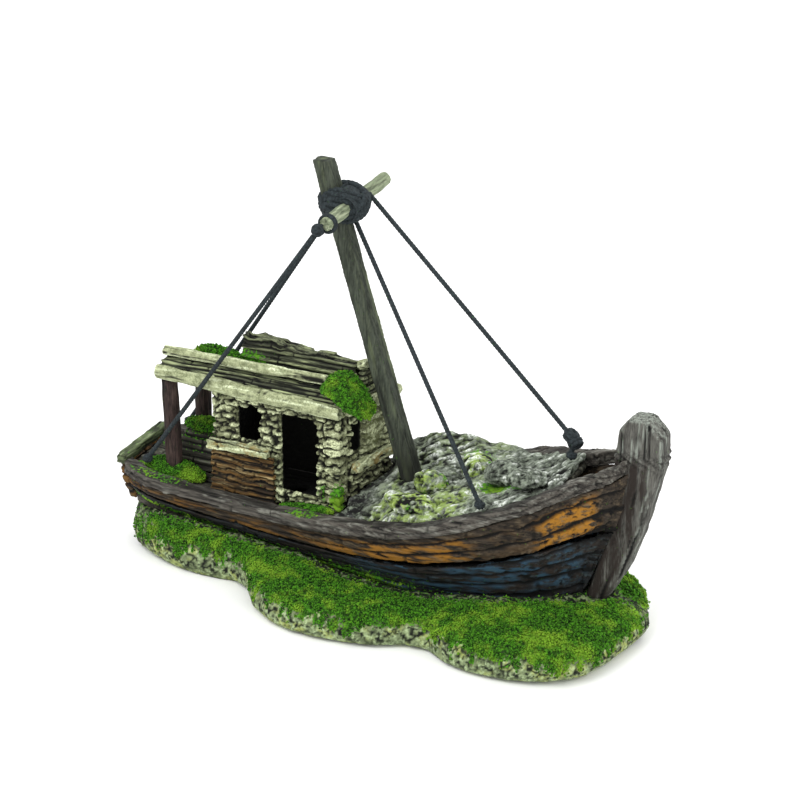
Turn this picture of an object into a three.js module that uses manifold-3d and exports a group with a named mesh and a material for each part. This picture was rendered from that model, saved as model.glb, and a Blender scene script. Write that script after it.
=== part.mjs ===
// A sunken fishing boat lying on a rock: an aquarium ornament with an air stone under its cabin.
// Millimetres, +Z up, +X towards the bow, +Y towards the port side.
import * as THREE from 'three';
import { mergeVertices } from 'three/addons/utils/BufferGeometryUtils.js';
import Module from 'manifold-3d';

const wasm = await Module();
wasm.setup();

// ---- Driving sizes ----
const GAP = 0.3;
const HEEL = 0.05;                 // rise of the port side per mm of breadth
const HULL_LENGTH = 200;
const HULL_HALF_BEAM = 33.6;
const SHEER_LOW = 34;              // height of the rail at its lowest station
const BOW_RISE = 38;
const STERN_RISE = 4;
const BILGE = 0.6;                 // breadth at the keel as a share of the breadth at the rail
const PLANK = 3;
const BASE_AFT_MARGIN = 2.5;       // rock past the transom
const BASE_FORE_MARGIN = 17.5;
const STRAKE_SPLIT = 0.56;         // height share where the lower strake ends and the upper one starts
const RAIL_WIDTH = 6;
const RAIL_HEIGHT = 5;
const RAIL_OVERHANG = 1.5;
const TRANSOM = 3.3;
const DECK_DROP = 2.5;             // deck surface below the rail's top
const STEM_THICKNESS = 11;
const CABIN_LENGTH = 54;
const CABIN_WIDTH = 30;
const WINDOW_WIDTH = 10;
const DOOR_WIDTH = 16;
const CLADDING_LENGTH = 27.5;
const WINDOW_SILL_LENGTH = 26.5;
const WINDOW_FOOT = 54.6;
const DOOR_FOOT = 36.5;
const CABIN_FRONT_X = -3;
const CABIN_TOP = 71.2;
const CABIN_SKEW = 0.234;          // forward run of the cabin front per mm of breadth
const WALL = 3;
const COLUMN = 6;
const BEAM_RADIUS = 2.2;
const PORCH_LENGTH = 24;
const ROOF_RISE = 7.4;
const STARBOARD_EAVE_LIFT = 3;     // rise of the starboard eave from the cabin front to the after end
const PORT_EAVE_LIFT = -6;
const ROOF_BOARD = 2.4;
const ROOF_SLOPE_RUN = 4;
const RIDGE_HEIGHT = 8.5;
const RAISED_LENGTH = 48;
const RAISED_SETBACK = 2;
const RAISED_BOARD = 2.2;
const RAISED_LIFT = 4.5;           // rise of the raised top towards its after end
const HATCH_Y = 3.6;
const HATCH_HALF_WIDTH = 9;
const HATCH_TOP = 48;
const POST_RADIUS = 3.3;
const MAST_WIDTH = 6.6;
const MAST_FOOT = new THREE.Vector3(21.5, 0, 41);
const MAST_TOP = new THREE.Vector3(-15.7, 0, 166.6);
const YARD_RADIUS = 2.65;
const YARD_LENGTH = 49;
const YARD_MIDDLE_Y = 3.4;
const YARD_HEIGHT = 150;
const LASHING_RADII = [10.6, 9.6, 8.4];
const CORD_DIAMETER = 1.8;
const TUBE_RADIUS = 2.5;
const TUBE_BORE_RADIUS = 1.5;
const STONE_RADIUS = 5;
const STONE_LENGTH = 16;
const STONE_CENTRE = new THREE.Vector3(-29, 0, 18.5);
const OUTLET_RADIUS = 4;
const INLET_HEIGHT = 28.5;

const AFT_X = -HULL_LENGTH / 2;
const STRETCH = HULL_LENGTH / 200;    // length against the tables of rocks and boulders below
const SPREAD = HULL_HALF_BEAM / 33.6;
const BASE_LENGTH = HULL_LENGTH + BASE_AFT_MARGIN + BASE_FORE_MARGIN;
const BASE_CENTRE_X = (BASE_FORE_MARGIN - BASE_AFT_MARGIN) / 2;
const CABIN_AFT_X = CABIN_FRONT_X - CABIN_LENGTH;
const SIDE_WALL_Y = CABIN_WIDTH / 2;
const EAVE_Z = CABIN_TOP + GAP + BEAM_RADIUS;
const ROOF_FOOT_Z = EAVE_Z + BEAM_RADIUS + GAP;
const ROOF_TOP_Z = ROOF_FOOT_Z + ROOF_RISE - ROOF_BOARD;
const ROOF_AFT_X = CABIN_AFT_X - PORCH_LENGTH;
const PORT_SLOPE_TOP_Y = -SIDE_WALL_Y + ROOF_SLOPE_RUN + 3.4;
const PORT = 1;
const STARBOARD = -1;

// Breadth of the hull at the rail: [share of half length from midships, share of half beam].
const STARBOARD_STATIONS = [
  [-1, 0.46], [-0.93, 0.6], [-0.84, 0.69], [-0.6, 0.71], [-0.32, 0.73], [0.065, 0.87], [0.3, 0.98],
  [0.42, 1], [0.56, 0.95], [0.7, 0.89], [0.83, 0.78], [0.945, 0.53], [1.03, 0.15],
];
const PORT_STATIONS = [
  [-1, 0.46], [-0.93, 0.6], [-0.84, 0.69], [-0.6, 0.71], [-0.32, 0.73], [0.065, 0.87], [0.3, 0.98],
  [0.45, 0.98], [0.61, 0.88], [0.75, 0.66], [0.87, 0.4], [1.03, 0.13],
];
// Height of the hull's bottom: [share of half length, mm].
const KEEL_LINE = [[-1, 20], [-0.5, 13], [0, 9], [0.6, 9], [1, 14]];
// Rocks of the base: [centre x, half length, reach from the centreline, squareness].
const STARBOARD_LOBES = [[-58, 44.5, 30, 2], [8, 51, 56, 2.2], [76.5, 41, 55, 2.5]];
const PORT_LOBES = [[-54, 48.5, 31, 2.2], [12, 52, 40, 2.2], [74, 43.5, 38, 1.6]];
// Rock surface beside the hull: [x, height].
const ROCK_LINE = [[-100, 26], [-88, 24.5], [-56, 18], [-22, 15.5], [2, 11.5], [27, 10.5], [59, 15], [90, 19], [118, 18]];
// Top of the rock's rim: [x, height].
const RIM_LINE = [[-103, 22], [-60, 17], [-20, 14.5], [30, 14], [118, 15]];
// Boulders on the fore heap: [x, y, half length, half breadth, half height].
const BOULDERS = [
  [31, -6, 7.5, 5, 4.5], [29, -19.5, 11, 5.5, 4], [44, 7, 6, 7, 5], [59, -3, 8, 6, 4.5], [73, -13, 8, 6.5, 4],
];

// ---- Solids ----
function closed(geometry) {
  geometry.deleteAttribute('normal');
  geometry.deleteAttribute('uv');
  return mergeVertices(geometry, 1e-4);
}

function signedVolume(geometry) {
  const position = geometry.attributes.position;
  const index = geometry.index.array;
  const [a, b, c] = [new THREE.Vector3(), new THREE.Vector3(), new THREE.Vector3()];
  let sum = 0;
  for (let i = 0; i < index.length; i += 3) {
    a.fromBufferAttribute(position, index[i]);
    b.fromBufferAttribute(position, index[i + 1]);
    c.fromBufferAttribute(position, index[i + 2]);
    sum += a.dot(b.cross(c)) / 6;
  }
  return sum;
}

function facingOut(geometry) {
  if (signedVolume(geometry) > 0) return geometry;
  const index = geometry.index.array;
  for (let i = 0; i < index.length; i += 3) {
    [index[i + 1], index[i + 2]] = [index[i + 2], index[i + 1]];
  }
  return geometry;
}

// Moves every vertex of a closed geometry; place gets x, y, z and returns the new x, y, z.
function moved(geometry, place) {
  const solid = closed(geometry);
  const position = solid.attributes.position;
  for (let i = 0; i < position.count; i += 1) {
    position.setXYZ(i, ...place(position.getX(i), position.getY(i), position.getZ(i)));
  }
  return facingOut(solid);
}

// A box of stepsU x stepsV x stepsW cells bent into shape; place gets shares 0 to 1 along each edge.
function shapedBox(stepsU, stepsV, stepsW, place) {
  const box = new THREE.BoxGeometry(1, 1, 1, stepsU, stepsV, stepsW);
  return moved(box, (x, y, z) => place(x + 0.5, y + 0.5, z + 0.5));
}

function block(low, high) {
  return shapedBox(1, 1, 1, (u, v, w) => [mix(low[0], high[0], u), mix(low[1], high[1], v), mix(low[2], high[2], w)]);
}

function ellipsoid(centre, radii, grow = 0) {
  return moved(new THREE.SphereGeometry(1, 14, 9), (x, y, z) => [
    centre[0] + (radii[0] + grow) * x,
    centre[1] + (radii[1] + grow) * y,
    centre[2] + (radii[2] + grow) * z,
  ]);
}

// A round bar from one point to another.
function bar(from, to, radius, sides = 10) {
  const length = from.distanceTo(to);
  const geometry = new THREE.CylinderGeometry(radius, radius, length, sides);
  const turn = new THREE.Quaternion().setFromUnitVectors(
    new THREE.Vector3(0, 1, 0),
    to.clone().sub(from).normalize(),
  );
  geometry.applyQuaternion(turn);
  geometry.translate(...from.clone().add(to).multiplyScalar(0.5).toArray());
  return facingOut(closed(geometry));
}

function solidOf(geometry) {
  const plain = closed(geometry.clone());
  return new wasm.Manifold(new wasm.Mesh({
    numProp: 3,
    vertProperties: plain.attributes.position.array,
    triVerts: new Uint32Array(plain.index.array),
  }));
}

function cut(geometry, ...tools) {
  let solid = solidOf(geometry);
  for (const tool of tools) solid = solid.subtract(solidOf(tool));
  const mesh = solid.getMesh();
  const result = new THREE.BufferGeometry();
  result.setAttribute('position', new THREE.BufferAttribute(mesh.vertProperties, 3));
  result.setIndex(new THREE.BufferAttribute(mesh.triVerts, 1));
  return result;
}

// An upright plate in the XZ plane, y from its lower to its higher face.
function plate(shape, lowY, thickness) {
  const geometry = new THREE.ExtrudeGeometry(shape, { depth: thickness, bevelEnabled: false });
  geometry.rotateX(Math.PI / 2);
  geometry.translate(0, lowY + thickness, 0);
  return facingOut(closed(geometry));
}

function outline(points) {
  return new THREE.Shape(points.map(([x, z]) => new THREE.Vector2(x, z)));
}

function rectangle(x0, x1, z0, z1) {
  return new THREE.Path([[x0, z0], [x1, z0], [x1, z1], [x0, z1]].map(([x, z]) => new THREE.Vector2(x, z)));
}

// ---- Lines and surfaces ----
function mix(a, b, share) {
  return a + (b - a) * share;
}

// A smooth curve through [x, value] stations, read at x.
function through(stations, x) {
  const last = stations.length - 1;
  let i = 0;
  while (i < last - 1 && x > stations[i + 1][0]) i += 1;
  const slope = (k) => {
    const a = stations[Math.max(k - 1, 0)];
    const b = stations[Math.min(k + 1, last)];
    return (b[1] - a[1]) / (b[0] - a[0]);
  };
  const [x0, y0] = stations[i];
  const [x1, y1] = stations[i + 1];
  const run = x1 - x0;
  const t = THREE.MathUtils.clamp((x - x0) / run, 0, 1);
  const t2 = t * t;
  const t3 = t2 * t;
  return (2 * t3 - 3 * t2 + 1) * y0 + (t3 - 2 * t2 + t) * run * slope(i)
    + (3 * t2 - 2 * t3) * y1 + (t3 - t2) * run * slope(i + 1);
}

function halfBreadth(x, side) {
  const stations = side === PORT ? PORT_STATIONS : STARBOARD_STATIONS;
  return HULL_HALF_BEAM * through(stations, x / (HULL_LENGTH / 2));
}

function keelZ(x) {
  return through(KEEL_LINE, x / (HULL_LENGTH / 2));
}

function sheerZ(x, y = 0) {
  const share = x / (HULL_LENGTH / 2);
  const low = -0.35;
  const rise = share > low
    ? BOW_RISE * ((share - low) / (1 - low)) ** 2
    : STERN_RISE * ((low - share) / (1 + low)) ** 2;
  return SHEER_LOW + rise + HEEL * y;
}

function deckZ(x, y = 0) {
  return sheerZ(x, y) - DECK_DROP;
}

function railWidth(x, side) {
  return Math.min(RAIL_WIDTH, halfBreadth(x, side) - GAP);
}

// Inner edge of the rail, where decks and heaps stop.
function innerY(x, side) {
  return side * (halfBreadth(x, side) - railWidth(x, side) - GAP);
}

// The stem's after edge, where the planking ends, by height share.
function plankEndX(share) {
  return HULL_LENGTH / 2 + mix(-9.8, 2, share ** 0.6);
}

function sidePoint(along, share, inset, side) {
  const railX = mix(AFT_X + TRANSOM + GAP, plankEndX(1), along);
  const x = mix(AFT_X + TRANSOM + GAP, plankEndX(share), along);
  const breadth = (halfBreadth(railX, side) - RAIL_OVERHANG) * mix(BILGE, 1, Math.sin(share * Math.PI / 2));
  const y = side * (Math.max(breadth, PLANK + 1) - inset);
  const top = sheerZ(railX, y) - RAIL_HEIGHT - GAP;
  return [x, y, mix(keelZ(x), top, share)];
}

// Closer stations near both ends of the hull.
function crowded(share) {
  return (1 - Math.cos(share * Math.PI)) / 2;
}

function eaveLift(x, side) {
  const lift = side === PORT ? PORT_EAVE_LIFT : STARBOARD_EAVE_LIFT;
  return lift * THREE.MathUtils.clamp((CABIN_FRONT_X - x) / (CABIN_FRONT_X - ROOF_AFT_X), 0, 1);
}

function wallTop(x, side) {
  return CABIN_TOP + eaveLift(x, side);
}

function frontX(y) {
  return CABIN_FRONT_X + CABIN_SKEW * (y + SIDE_WALL_Y);
}

// ---- Base ----
function reach(x, lobes) {
  return Math.max(1, ...lobes.map(([centre, half, out, square]) => {
    const share = Math.min(1, Math.abs(x / STRETCH - centre) / half);
    return SPREAD * out * (1 - share ** square) ** (1 / square);
  }));
}

function rockTop(x, rim) {
  const inner = through(ROCK_LINE, x / STRETCH);
  return mix(inner, through(RIM_LINE, x / STRETCH), THREE.MathUtils.smoothstep(rim, 0.45, 0.95));
}

// The rock as a disc: profile radius is the share of the way to the rim, height the share of the top.
function rockBase() {
  const profile = [[0, 0], [0.6, 0], [0.93, 0], [0.985, 0.12], [1, 0.38], [0.99, 0.62], [0.955, 0.83], [0.88, 0.96],
    [0.75, 1], [0.5, 1], [0.25, 1], [0, 1]];
  const disc = new THREE.LatheGeometry(profile.map(([r, h]) => new THREE.Vector2(r, h)), 64);
  const rock = moved(disc, (x, h, z) => {
    const rim = Math.hypot(x, z);
    if (rim < 1e-6) return [BASE_CENTRE_X, 0, h * rockTop(BASE_CENTRE_X, 0)];
    const edgeX = BASE_CENTRE_X + BASE_LENGTH / 2 * (x / rim);
    const edgeY = z > 0 ? reach(edgeX, PORT_LOBES) : -reach(edgeX, STARBOARD_LOBES);
    const px = mix(BASE_CENTRE_X, edgeX, rim);
    const py = edgeY * rim * Math.min(1, Math.abs(z / rim) * 3);
    return [px, py, h * rockTop(px, rim)];
  });
  return cut(rock, hullRoom(), stemPost(GAP));
}

// The space that the hull takes out of the rock.
function hullRoom() {
  return shapedBox(24, 2, 6, (u, v, w) => {
    const x = mix(AFT_X - 1, plankEndX(w), crowded(u));
    const side = v < 0.5 ? STARBOARD : PORT;
    const railX = mix(AFT_X - 1, plankEndX(1), crowded(u));
    const breadth = halfBreadth(railX, side) * mix(BILGE, 1, Math.sin(w * Math.PI / 2)) + GAP;
    const z = mix(keelZ(x) - PLANK - GAP, sheerZ(x), w);
    return [x, (2 * v - 1) * Math.max(breadth, PLANK + 1.5), z];
  });
}

// ---- Hull ----
function strake(side, low, high) {
  return shapedBox(26, 1, 3, (u, v, w) => sidePoint(crowded(u), mix(low, high, w), PLANK * v, side));
}

function gunwale(side) {
  return shapedBox(30, 1, 1, (u, v, w) => {
    const x = mix(AFT_X + TRANSOM + GAP, plankEndX(1), crowded(u));
    const y = side * (halfBreadth(x, side) - railWidth(x, side) * v);
    return [x, y, sheerZ(x, side * halfBreadth(x, side)) - RAIL_HEIGHT * (1 - w)];
  });
}

function keelBoard() {
  return shapedBox(18, 2, 1, (u, v, w) => {
    const x = mix(AFT_X + TRANSOM + GAP, plankEndX(0), u);
    const breadth = v < 0.5 ? sidePoint(u, 0, 0, STARBOARD)[1] : sidePoint(u, 0, 0, PORT)[1];
    return [x, v === 0.5 ? 0 : breadth, keelZ(x) - (w === 1 ? GAP : PLANK)];
  });
}

function transom() {
  const board = shapedBox(1, 6, 5, (u, v, w) => {
    const breadth = (halfBreadth(AFT_X + 3, PORT) - RAIL_OVERHANG) * mix(BILGE, 1, Math.sin(w * Math.PI / 2));
    const y = (2 * v - 1) * breadth;
    const top = sheerZ(AFT_X, y) - RAIL_HEIGHT / 2 - GAP;
    return [AFT_X + TRANSOM * u, y, mix(keelZ(AFT_X) - PLANK, top, w)];
  });
  const from = new THREE.Vector3(AFT_X - 5, 0, INLET_HEIGHT);
  const to = new THREE.Vector3(AFT_X + TRANSOM + 5, 0, INLET_HEIGHT);
  return cut(board, bar(from, to, TUBE_RADIUS + GAP, 12));
}

function sternRail() {
  return shapedBox(1, 6, 1, (u, v, w) => {
    const half = halfBreadth(AFT_X + 2, PORT) - GAP;
    const y = (2 * v - 1) * half;
    const z = sheerZ(AFT_X, y) + mix(-RAIL_HEIGHT / 2, RAIL_HEIGHT / 4, w);
    return [mix(AFT_X - 1, AFT_X + TRANSOM, u), y, z];
  });
}

function stemPost(grow = 0) {
  const bow = HULL_LENGTH / 2;
  const profile = [
    [-8, 11], [-5, 20], [-2.5, 28], [1, 44], [2.8, 60], [2.8, 73], [4, 84], [8, 88.5], [15, 88.5], [20.5, 82],
    [20.5, 70], [18, 58], [14, 43], [9, 29], [4.5, 20], [0, 12],
  ];
  const geometry = new THREE.ExtrudeGeometry(outline(profile.map(([x, z]) => [bow + x, z])), {
    depth: STEM_THICKNESS - 3 + 2 * grow,
    bevelThickness: 1.5,
    bevelSize: 1.5,
    bevelOffset: -1.5 + grow,
    bevelSegments: 2,
  });
  geometry.rotateX(Math.PI / 2);
  geometry.translate(0, (STEM_THICKNESS - 3) / 2 + grow, 0);
  return facingOut(closed(geometry));
}

function mainDeck() {
  const deck = shapedBox(26, 4, 1, (u, v, w) => {
    const x = mix(AFT_X + TRANSOM + GAP, HULL_LENGTH / 2 - 12, u);
    const y = mix(innerY(x, STARBOARD), innerY(x, PORT), v);
    return [x, y, deckZ(x, y) - PLANK * (1 - w)];
  });
  const low = new THREE.Vector3(STONE_CENTRE.x, 0, 20);
  const high = new THREE.Vector3(STONE_CENTRE.x, 0, 50);
  return cut(deck, bar(low, high, OUTLET_RADIUS, 12));
}

// ---- Fore heap ----
function heapTop(x, y) {
  const low = innerY(x, STARBOARD);
  const high = innerY(x, PORT);
  const across = THREE.MathUtils.clamp((y - low) / (high - low), 0, 1);
  const nearSide = sheerZ(x, low) - 0.5;
  const crown = Math.max(55, sheerZ(x) + 1.5);
  const farSide = mix(46, crown, THREE.MathUtils.smoothstep(x, 2, 22));
  const swell = 1.2 * Math.sin(x * 0.35) * Math.sin(across * 9);
  return mix(nearSide, farSide, across ** 0.8) + swell * Math.sin(across * Math.PI);
}

function boulder(index, grow = 0) {
  const [tableX, tableY, length, breadth, height] = BOULDERS[index];
  const [x, y] = [tableX, tableY * SPREAD];
  const lowest = deckZ(x + length * 0.6, y) + height + GAP;
  return ellipsoid([x, y, Math.max(heapTop(x, y) + 0.6, lowest)], [length, breadth, height], grow);
}

function foreHeap() {
  const heap = shapedBox(20, 10, 1, (u, v, w) => {
    const startY = mix(innerY(2, STARBOARD), innerY(2, PORT), v);
    const x = mix(frontX(startY) + WALL + GAP, HULL_LENGTH / 2 - 13, u);
    const y = mix(innerY(x, STARBOARD), innerY(x, PORT), v);
    return [x, y, w === 0 ? deckZ(x, y) + GAP : heapTop(x, y)];
  });
  const boulders = BOULDERS.map((_, index) => boulder(index, GAP));
  return cut(heap, mast(GAP), ...boulders);
}

// ---- Cabin ----
// Foot of a side wall follows the deck.
function wallFoot(fromX, toX, y) {
  const steps = 6;
  return Array.from({ length: steps + 1 }, (_, i) => {
    const x = mix(fromX, toX, i / steps);
    return [x, deckZ(x, y) + GAP + 0.1];
  });
}

function starboardWall() {
  const toX = CABIN_FRONT_X - COLUMN - GAP;
  const y = -SIDE_WALL_Y;
  const shape = outline([
    ...wallFoot(CABIN_AFT_X, toX, y + WALL), [toX, wallTop(toX, STARBOARD)], [CABIN_AFT_X, wallTop(CABIN_AFT_X, STARBOARD)],
  ]);
  const windowAft = CABIN_AFT_X + WINDOW_WIDTH;
  const doorFront = toX - 3;
  const doorAft = doorFront - DOOR_WIDTH;
  shape.holes.push(rectangle(windowAft, windowAft + WINDOW_WIDTH, WINDOW_FOOT, CABIN_TOP - 2));
  const lintel = CABIN_TOP - 2.4;
  const door = [[doorAft, DOOR_FOOT], [doorFront, DOOR_FOOT], [doorFront, lintel - 2.8], [doorFront - 3, lintel], [doorAft, lintel]];
  shape.holes.push(new THREE.Path(door.map(([x, z]) => new THREE.Vector2(x, z))));
  return plate(shape, y, WALL);
}

function portWall() {
  const toX = frontX(SIDE_WALL_Y - WALL) - WALL - 2 * GAP - CABIN_SKEW * WALL;
  const y = SIDE_WALL_Y - WALL;
  const shape = outline([...wallFoot(CABIN_AFT_X, toX, y + WALL), [toX, wallTop(toX, PORT)], [CABIN_AFT_X, wallTop(CABIN_AFT_X, PORT)]]);
  for (const [aft, foot] of [[CABIN_AFT_X + WINDOW_WIDTH, 55.2], [CABIN_AFT_X + 3 * WINDOW_WIDTH, 55.8]]) {
    shape.holes.push(rectangle(aft, aft + WINDOW_WIDTH, foot, foot + 10));
  }
  return plate(shape, y, WALL);
}

// A wall across the boat, its outer face on faceX(y); holes are [y0, y1, z0, z1].
function crossWall(faceX, fromY, toY, holes, thickness) {
  const foot = Math.max(deckZ(faceX(fromY), toY), deckZ(faceX(toY), toY)) + GAP + 0.1;
  const [lowTop, highTop] = [wallTop(faceX(fromY) + GAP, STARBOARD), wallTop(faceX(toY) + GAP, PORT)];
  const shape = outline([[fromY, foot], [toY, foot], [toY, Math.min(CABIN_TOP, highTop)], [fromY, lowTop]]);
  for (const [y0, y1, z0, z1] of holes) shape.holes.push(rectangle(y0, y1, z0, z1));
  const geometry = plate(shape, 0, thickness);
  return moved(geometry, (across, depth, z) => [faceX(across) - depth, across, z]);
}

function frontWall() {
  const fromY = -SIDE_WALL_Y + COLUMN + GAP;
  return crossWall(frontX, fromY, SIDE_WALL_Y, [[fromY + 1, fromY + 8.5, 54, CABIN_TOP - 4.5]], WALL);
}

function rearWall() {
  const half = SIDE_WALL_Y - WALL - GAP;
  return crossWall(() => CABIN_AFT_X + WALL, -half, half, [[-half + 2, -half + 2 + WINDOW_WIDTH, 50, CABIN_TOP - 4]], WALL);
}

function cornerColumn() {
  const low = -SIDE_WALL_Y;
  return shapedBox(1, 1, 1, (u, v, w) => {
    const y = low + COLUMN * v;
    const x = CABIN_FRONT_X - COLUMN * (1 - u);
    return [x, y, mix(deckZ(CABIN_FRONT_X, y) + GAP + 0.1, CABIN_TOP, w)];
  });
}

function lowerCladding() {
  const y = -SIDE_WALL_Y - GAP;
  const fromX = CABIN_AFT_X - 0.5;
  return shapedBox(6, 1, 1, (u, v, w) => {
    const x = fromX + CLADDING_LENGTH * u;
    return [x, y - 2 * v, mix(deckZ(x, y) + GAP, 50, w)];
  });
}

function windowSill() {
  const y = -SIDE_WALL_Y - GAP;
  const fromX = CABIN_AFT_X - 1.5;
  return block([fromX, y - 3.4, 50 + GAP], [fromX + WINDOW_SILL_LENGTH, y, 53.5]);
}

function frontSill() {
  return shapedBox(1, 4, 1, (u, v, w) => {
    const y = mix(-SIDE_WALL_Y + COLUMN + GAP, SIDE_WALL_Y, v);
    return [frontX(y) + GAP + 3 * u, y, mix(47.6, 51.2, w)];
  });
}

// ---- Roof ----
function eaveBeam(side) {
  const y = side * SIDE_WALL_Y;
  const toX = frontX(y) - (side === PORT ? 1 : -0.4);
  const from = new THREE.Vector3(ROOF_AFT_X, y, EAVE_Z + eaveLift(ROOF_AFT_X, side));
  return bar(from, new THREE.Vector3(toX, y, EAVE_Z + eaveLift(toX, side)), BEAM_RADIUS);
}

function frontEaveBeam() {
  const low = -SIDE_WALL_Y + BEAM_RADIUS + GAP + 1;
  const high = SIDE_WALL_Y + BEAM_RADIUS;
  const from = new THREE.Vector3(frontX(low) + 1.4, low, EAVE_Z - 0.4);
  const to = new THREE.Vector3(frontX(high) + 1.8, high, EAVE_Z - 0.4);
  return bar(from, to, BEAM_RADIUS - 0.4);
}

function aftEaveBeam() {
  const half = SIDE_WALL_Y - BEAM_RADIUS - 3 * GAP;
  const x = ROOF_AFT_X + BEAM_RADIUS;
  const [low, high] = [EAVE_Z + eaveLift(x, STARBOARD), EAVE_Z + eaveLift(x, PORT)];
  return bar(new THREE.Vector3(x, -half, low), new THREE.Vector3(x, half, high), BEAM_RADIUS - 2 * GAP);
}

function roofFrontX(y) {
  return frontX(y) - ROOF_SLOPE_RUN - 2;
}

// Short steep slope over the starboard side: outer face at v = 0, inner face at v = 1.
function sideSlope() {
  return shapedBox(4, 1, 1, (u, v, w) => {
    const out = SIDE_WALL_Y + 0.8 - ROOF_SLOPE_RUN * w - 3 * v;
    const x = mix(ROOF_AFT_X + 0.5, roofFrontX(-out), u);
    return [x, -out, mix(ROOF_FOOT_Z + eaveLift(x, STARBOARD), ROOF_TOP_Z, w)];
  });
}

function frontSlope() {
  const low = -SIDE_WALL_Y - 0.8;
  return shapedBox(1, 8, 1, (u, v, w) => {
    const y = mix(low + ROOF_SLOPE_RUN * w, SIDE_WALL_Y + 0.8, v);
    const top = y < PORT_SLOPE_TOP_Y ? ROOF_TOP_Z : portSlopeZ(CABIN_FRONT_X, y);
    const x = roofFrontX(y) + GAP + 3 * u + (ROOF_SLOPE_RUN + 0.5) * (1 - w);
    return [x, y, mix(ROOF_FOOT_Z, top, w)];
  });
}

function upperBeam() {
  const y = -(SIDE_WALL_Y - ROOF_SLOPE_RUN - 1.4);
  const z = ROOF_TOP_Z + GAP + BEAM_RADIUS - 0.2;
  return bar(new THREE.Vector3(ROOF_AFT_X, y, z), new THREE.Vector3(frontX(y) - 9, y, z), BEAM_RADIUS - 0.2);
}

// Long slope over the port side, from beside the upper beam down to the port eave.
function portSlope() {
  return shapedBox(6, 4, 1, (u, v, w) => {
    const y = mix(PORT_SLOPE_TOP_Y, SIDE_WALL_Y + 0.8, v);
    const x = mix(ROOF_AFT_X + 0.5, roofFrontX(y), u);
    return [x, y, portSlopeZ(x, y) - ROOF_BOARD * (1 - w)];
  });
}

function portSlopeZ(x, y) {
  const share = (y - PORT_SLOPE_TOP_Y) / (SIDE_WALL_Y + 0.8 - PORT_SLOPE_TOP_Y);
  return mix(ROOF_TOP_Z, ROOF_FOOT_Z + ROOF_BOARD + eaveLift(x, PORT), share);
}

// Outer line of the raised top in section at x, [y, z]: starboard foot, starboard edge, port edge, port foot.
function raisedSection(x) {
  const share = THREE.MathUtils.clamp((CABIN_FRONT_X - x) / RAISED_LENGTH, 0, 1);
  const top = ROOF_TOP_Z + GAP + RIDGE_HEIGHT + RAISED_LIFT * share * share;
  const footY = PORT_SLOPE_TOP_Y + 2;
  return [
    [footY, portSlopeZ(x, footY) + GAP],
    [-2.5, top],
    [8, top - 3],
    [10.5, portSlopeZ(x, 10.5 - RAISED_BOARD) + GAP],
  ];
}

// One board field of the raised top between two lines of the section, with its thickness in y and z.
function raisedField(lines, thickness, wornEdge) {
  return shapedBox(12, 1, 1, (u, v, w) => {
    const guessX = CABIN_FRONT_X - RAISED_LENGTH * (1 - u);
    const [from, to] = lines(guessX);
    const y = mix(from[0], to[0], w) + thickness[0] * v;
    const worn = wornEdge * w * (0.5 + 0.5 * Math.sin(u * 17));
    const z = mix(from[1], to[1], w) + thickness[1] * v - worn;
    const front = frontX(y) - RAISED_SETBACK;
    return [mix(front - RAISED_LENGTH, front, u), y, z];
  });
}

function raisedStarboard() {
  return raisedField((x) => raisedSection(x).slice(0, 2), [RAISED_BOARD, 0], 1.2);
}

function raisedTop() {
  return raisedField((x) => {
    const [, starboard, port] = raisedSection(x);
    return [[starboard[0] + RAISED_BOARD + GAP, starboard[1] - 1.4], [port[0] - 2.6, port[1]]];
  }, [0, -1.8], 0.8);
}

function raisedPort() {
  return raisedField((x) => raisedSection(x).slice(2).reverse(), [-RAISED_BOARD, 0], 1);
}

function raisedFront() {
  const [foot, starboard, port, portFoot] = raisedSection(CABIN_FRONT_X);
  return shapedBox(1, 4, 1, (u, v, w) => {
    const low = mix(foot[0] + 4, starboard[0] + 1, w);
    const high = mix(portFoot[0] - 1, port[0], w);
    const y = mix(low, high, v);
    const top = mix(starboard[1] - 2.6, port[1] - 2.4, (y - starboard[0]) / (port[0] - starboard[0]));
    return [frontX(y) - RAISED_SETBACK + GAP + 2 * u, y, w === 0 ? portSlopeZ(CABIN_FRONT_X, y) + GAP : top];
  });
}

function raisedEndBeam() {
  const [, starboard, port] = raisedSection(CABIN_FRONT_X);
  const radius = 1.8;
  const lowY = starboard[0] - 0.5;
  const highY = port[0] + 2;
  const at = (y, z) => new THREE.Vector3(frontX(y) - RAISED_SETBACK + GAP + radius + 0.2, y, z + 0.4);
  return bar(at(lowY, starboard[1] - radius + 1), at(highY, port[1] - radius + 1), radius);
}

function porchPost(side) {
  const x = ROOF_AFT_X + POST_RADIUS + 0.4;
  const footY = side * (SIDE_WALL_Y - 3.6);
  const topY = side * (SIDE_WALL_Y - 2.6);
  const foot = new THREE.Vector3(x, footY, deckZ(x, Math.abs(footY)) + 2 * GAP);
  return [foot, new THREE.Vector3(x - 0.3, topY, wallTop(x, side) - 0.4)];
}

function porchPostSolid(side, grow = 0) {
  const [foot, top] = porchPost(side);
  return bar(foot, top, POST_RADIUS + grow);
}

function aftHatch() {
  const hatch = shapedBox(6, 4, 3, (u, v, w) => {
    const rounding = 1 - 0.25 * w * w;
    const x = mix(CABIN_AFT_X - 25, CABIN_AFT_X - GAP, u * (1 - 0.12 * w) + 0.12 * w);
    const y = HATCH_Y + (2 * v - 1) * HATCH_HALF_WIDTH * rounding;
    const top = HATCH_TOP - 2.5 * Math.abs(2 * v - 1) ** 2;
    return [x, y, mix(deckZ(x, y) + GAP, top, w)];
  });
  return cut(hatch, porchPostSolid(PORT, GAP));
}

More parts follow.
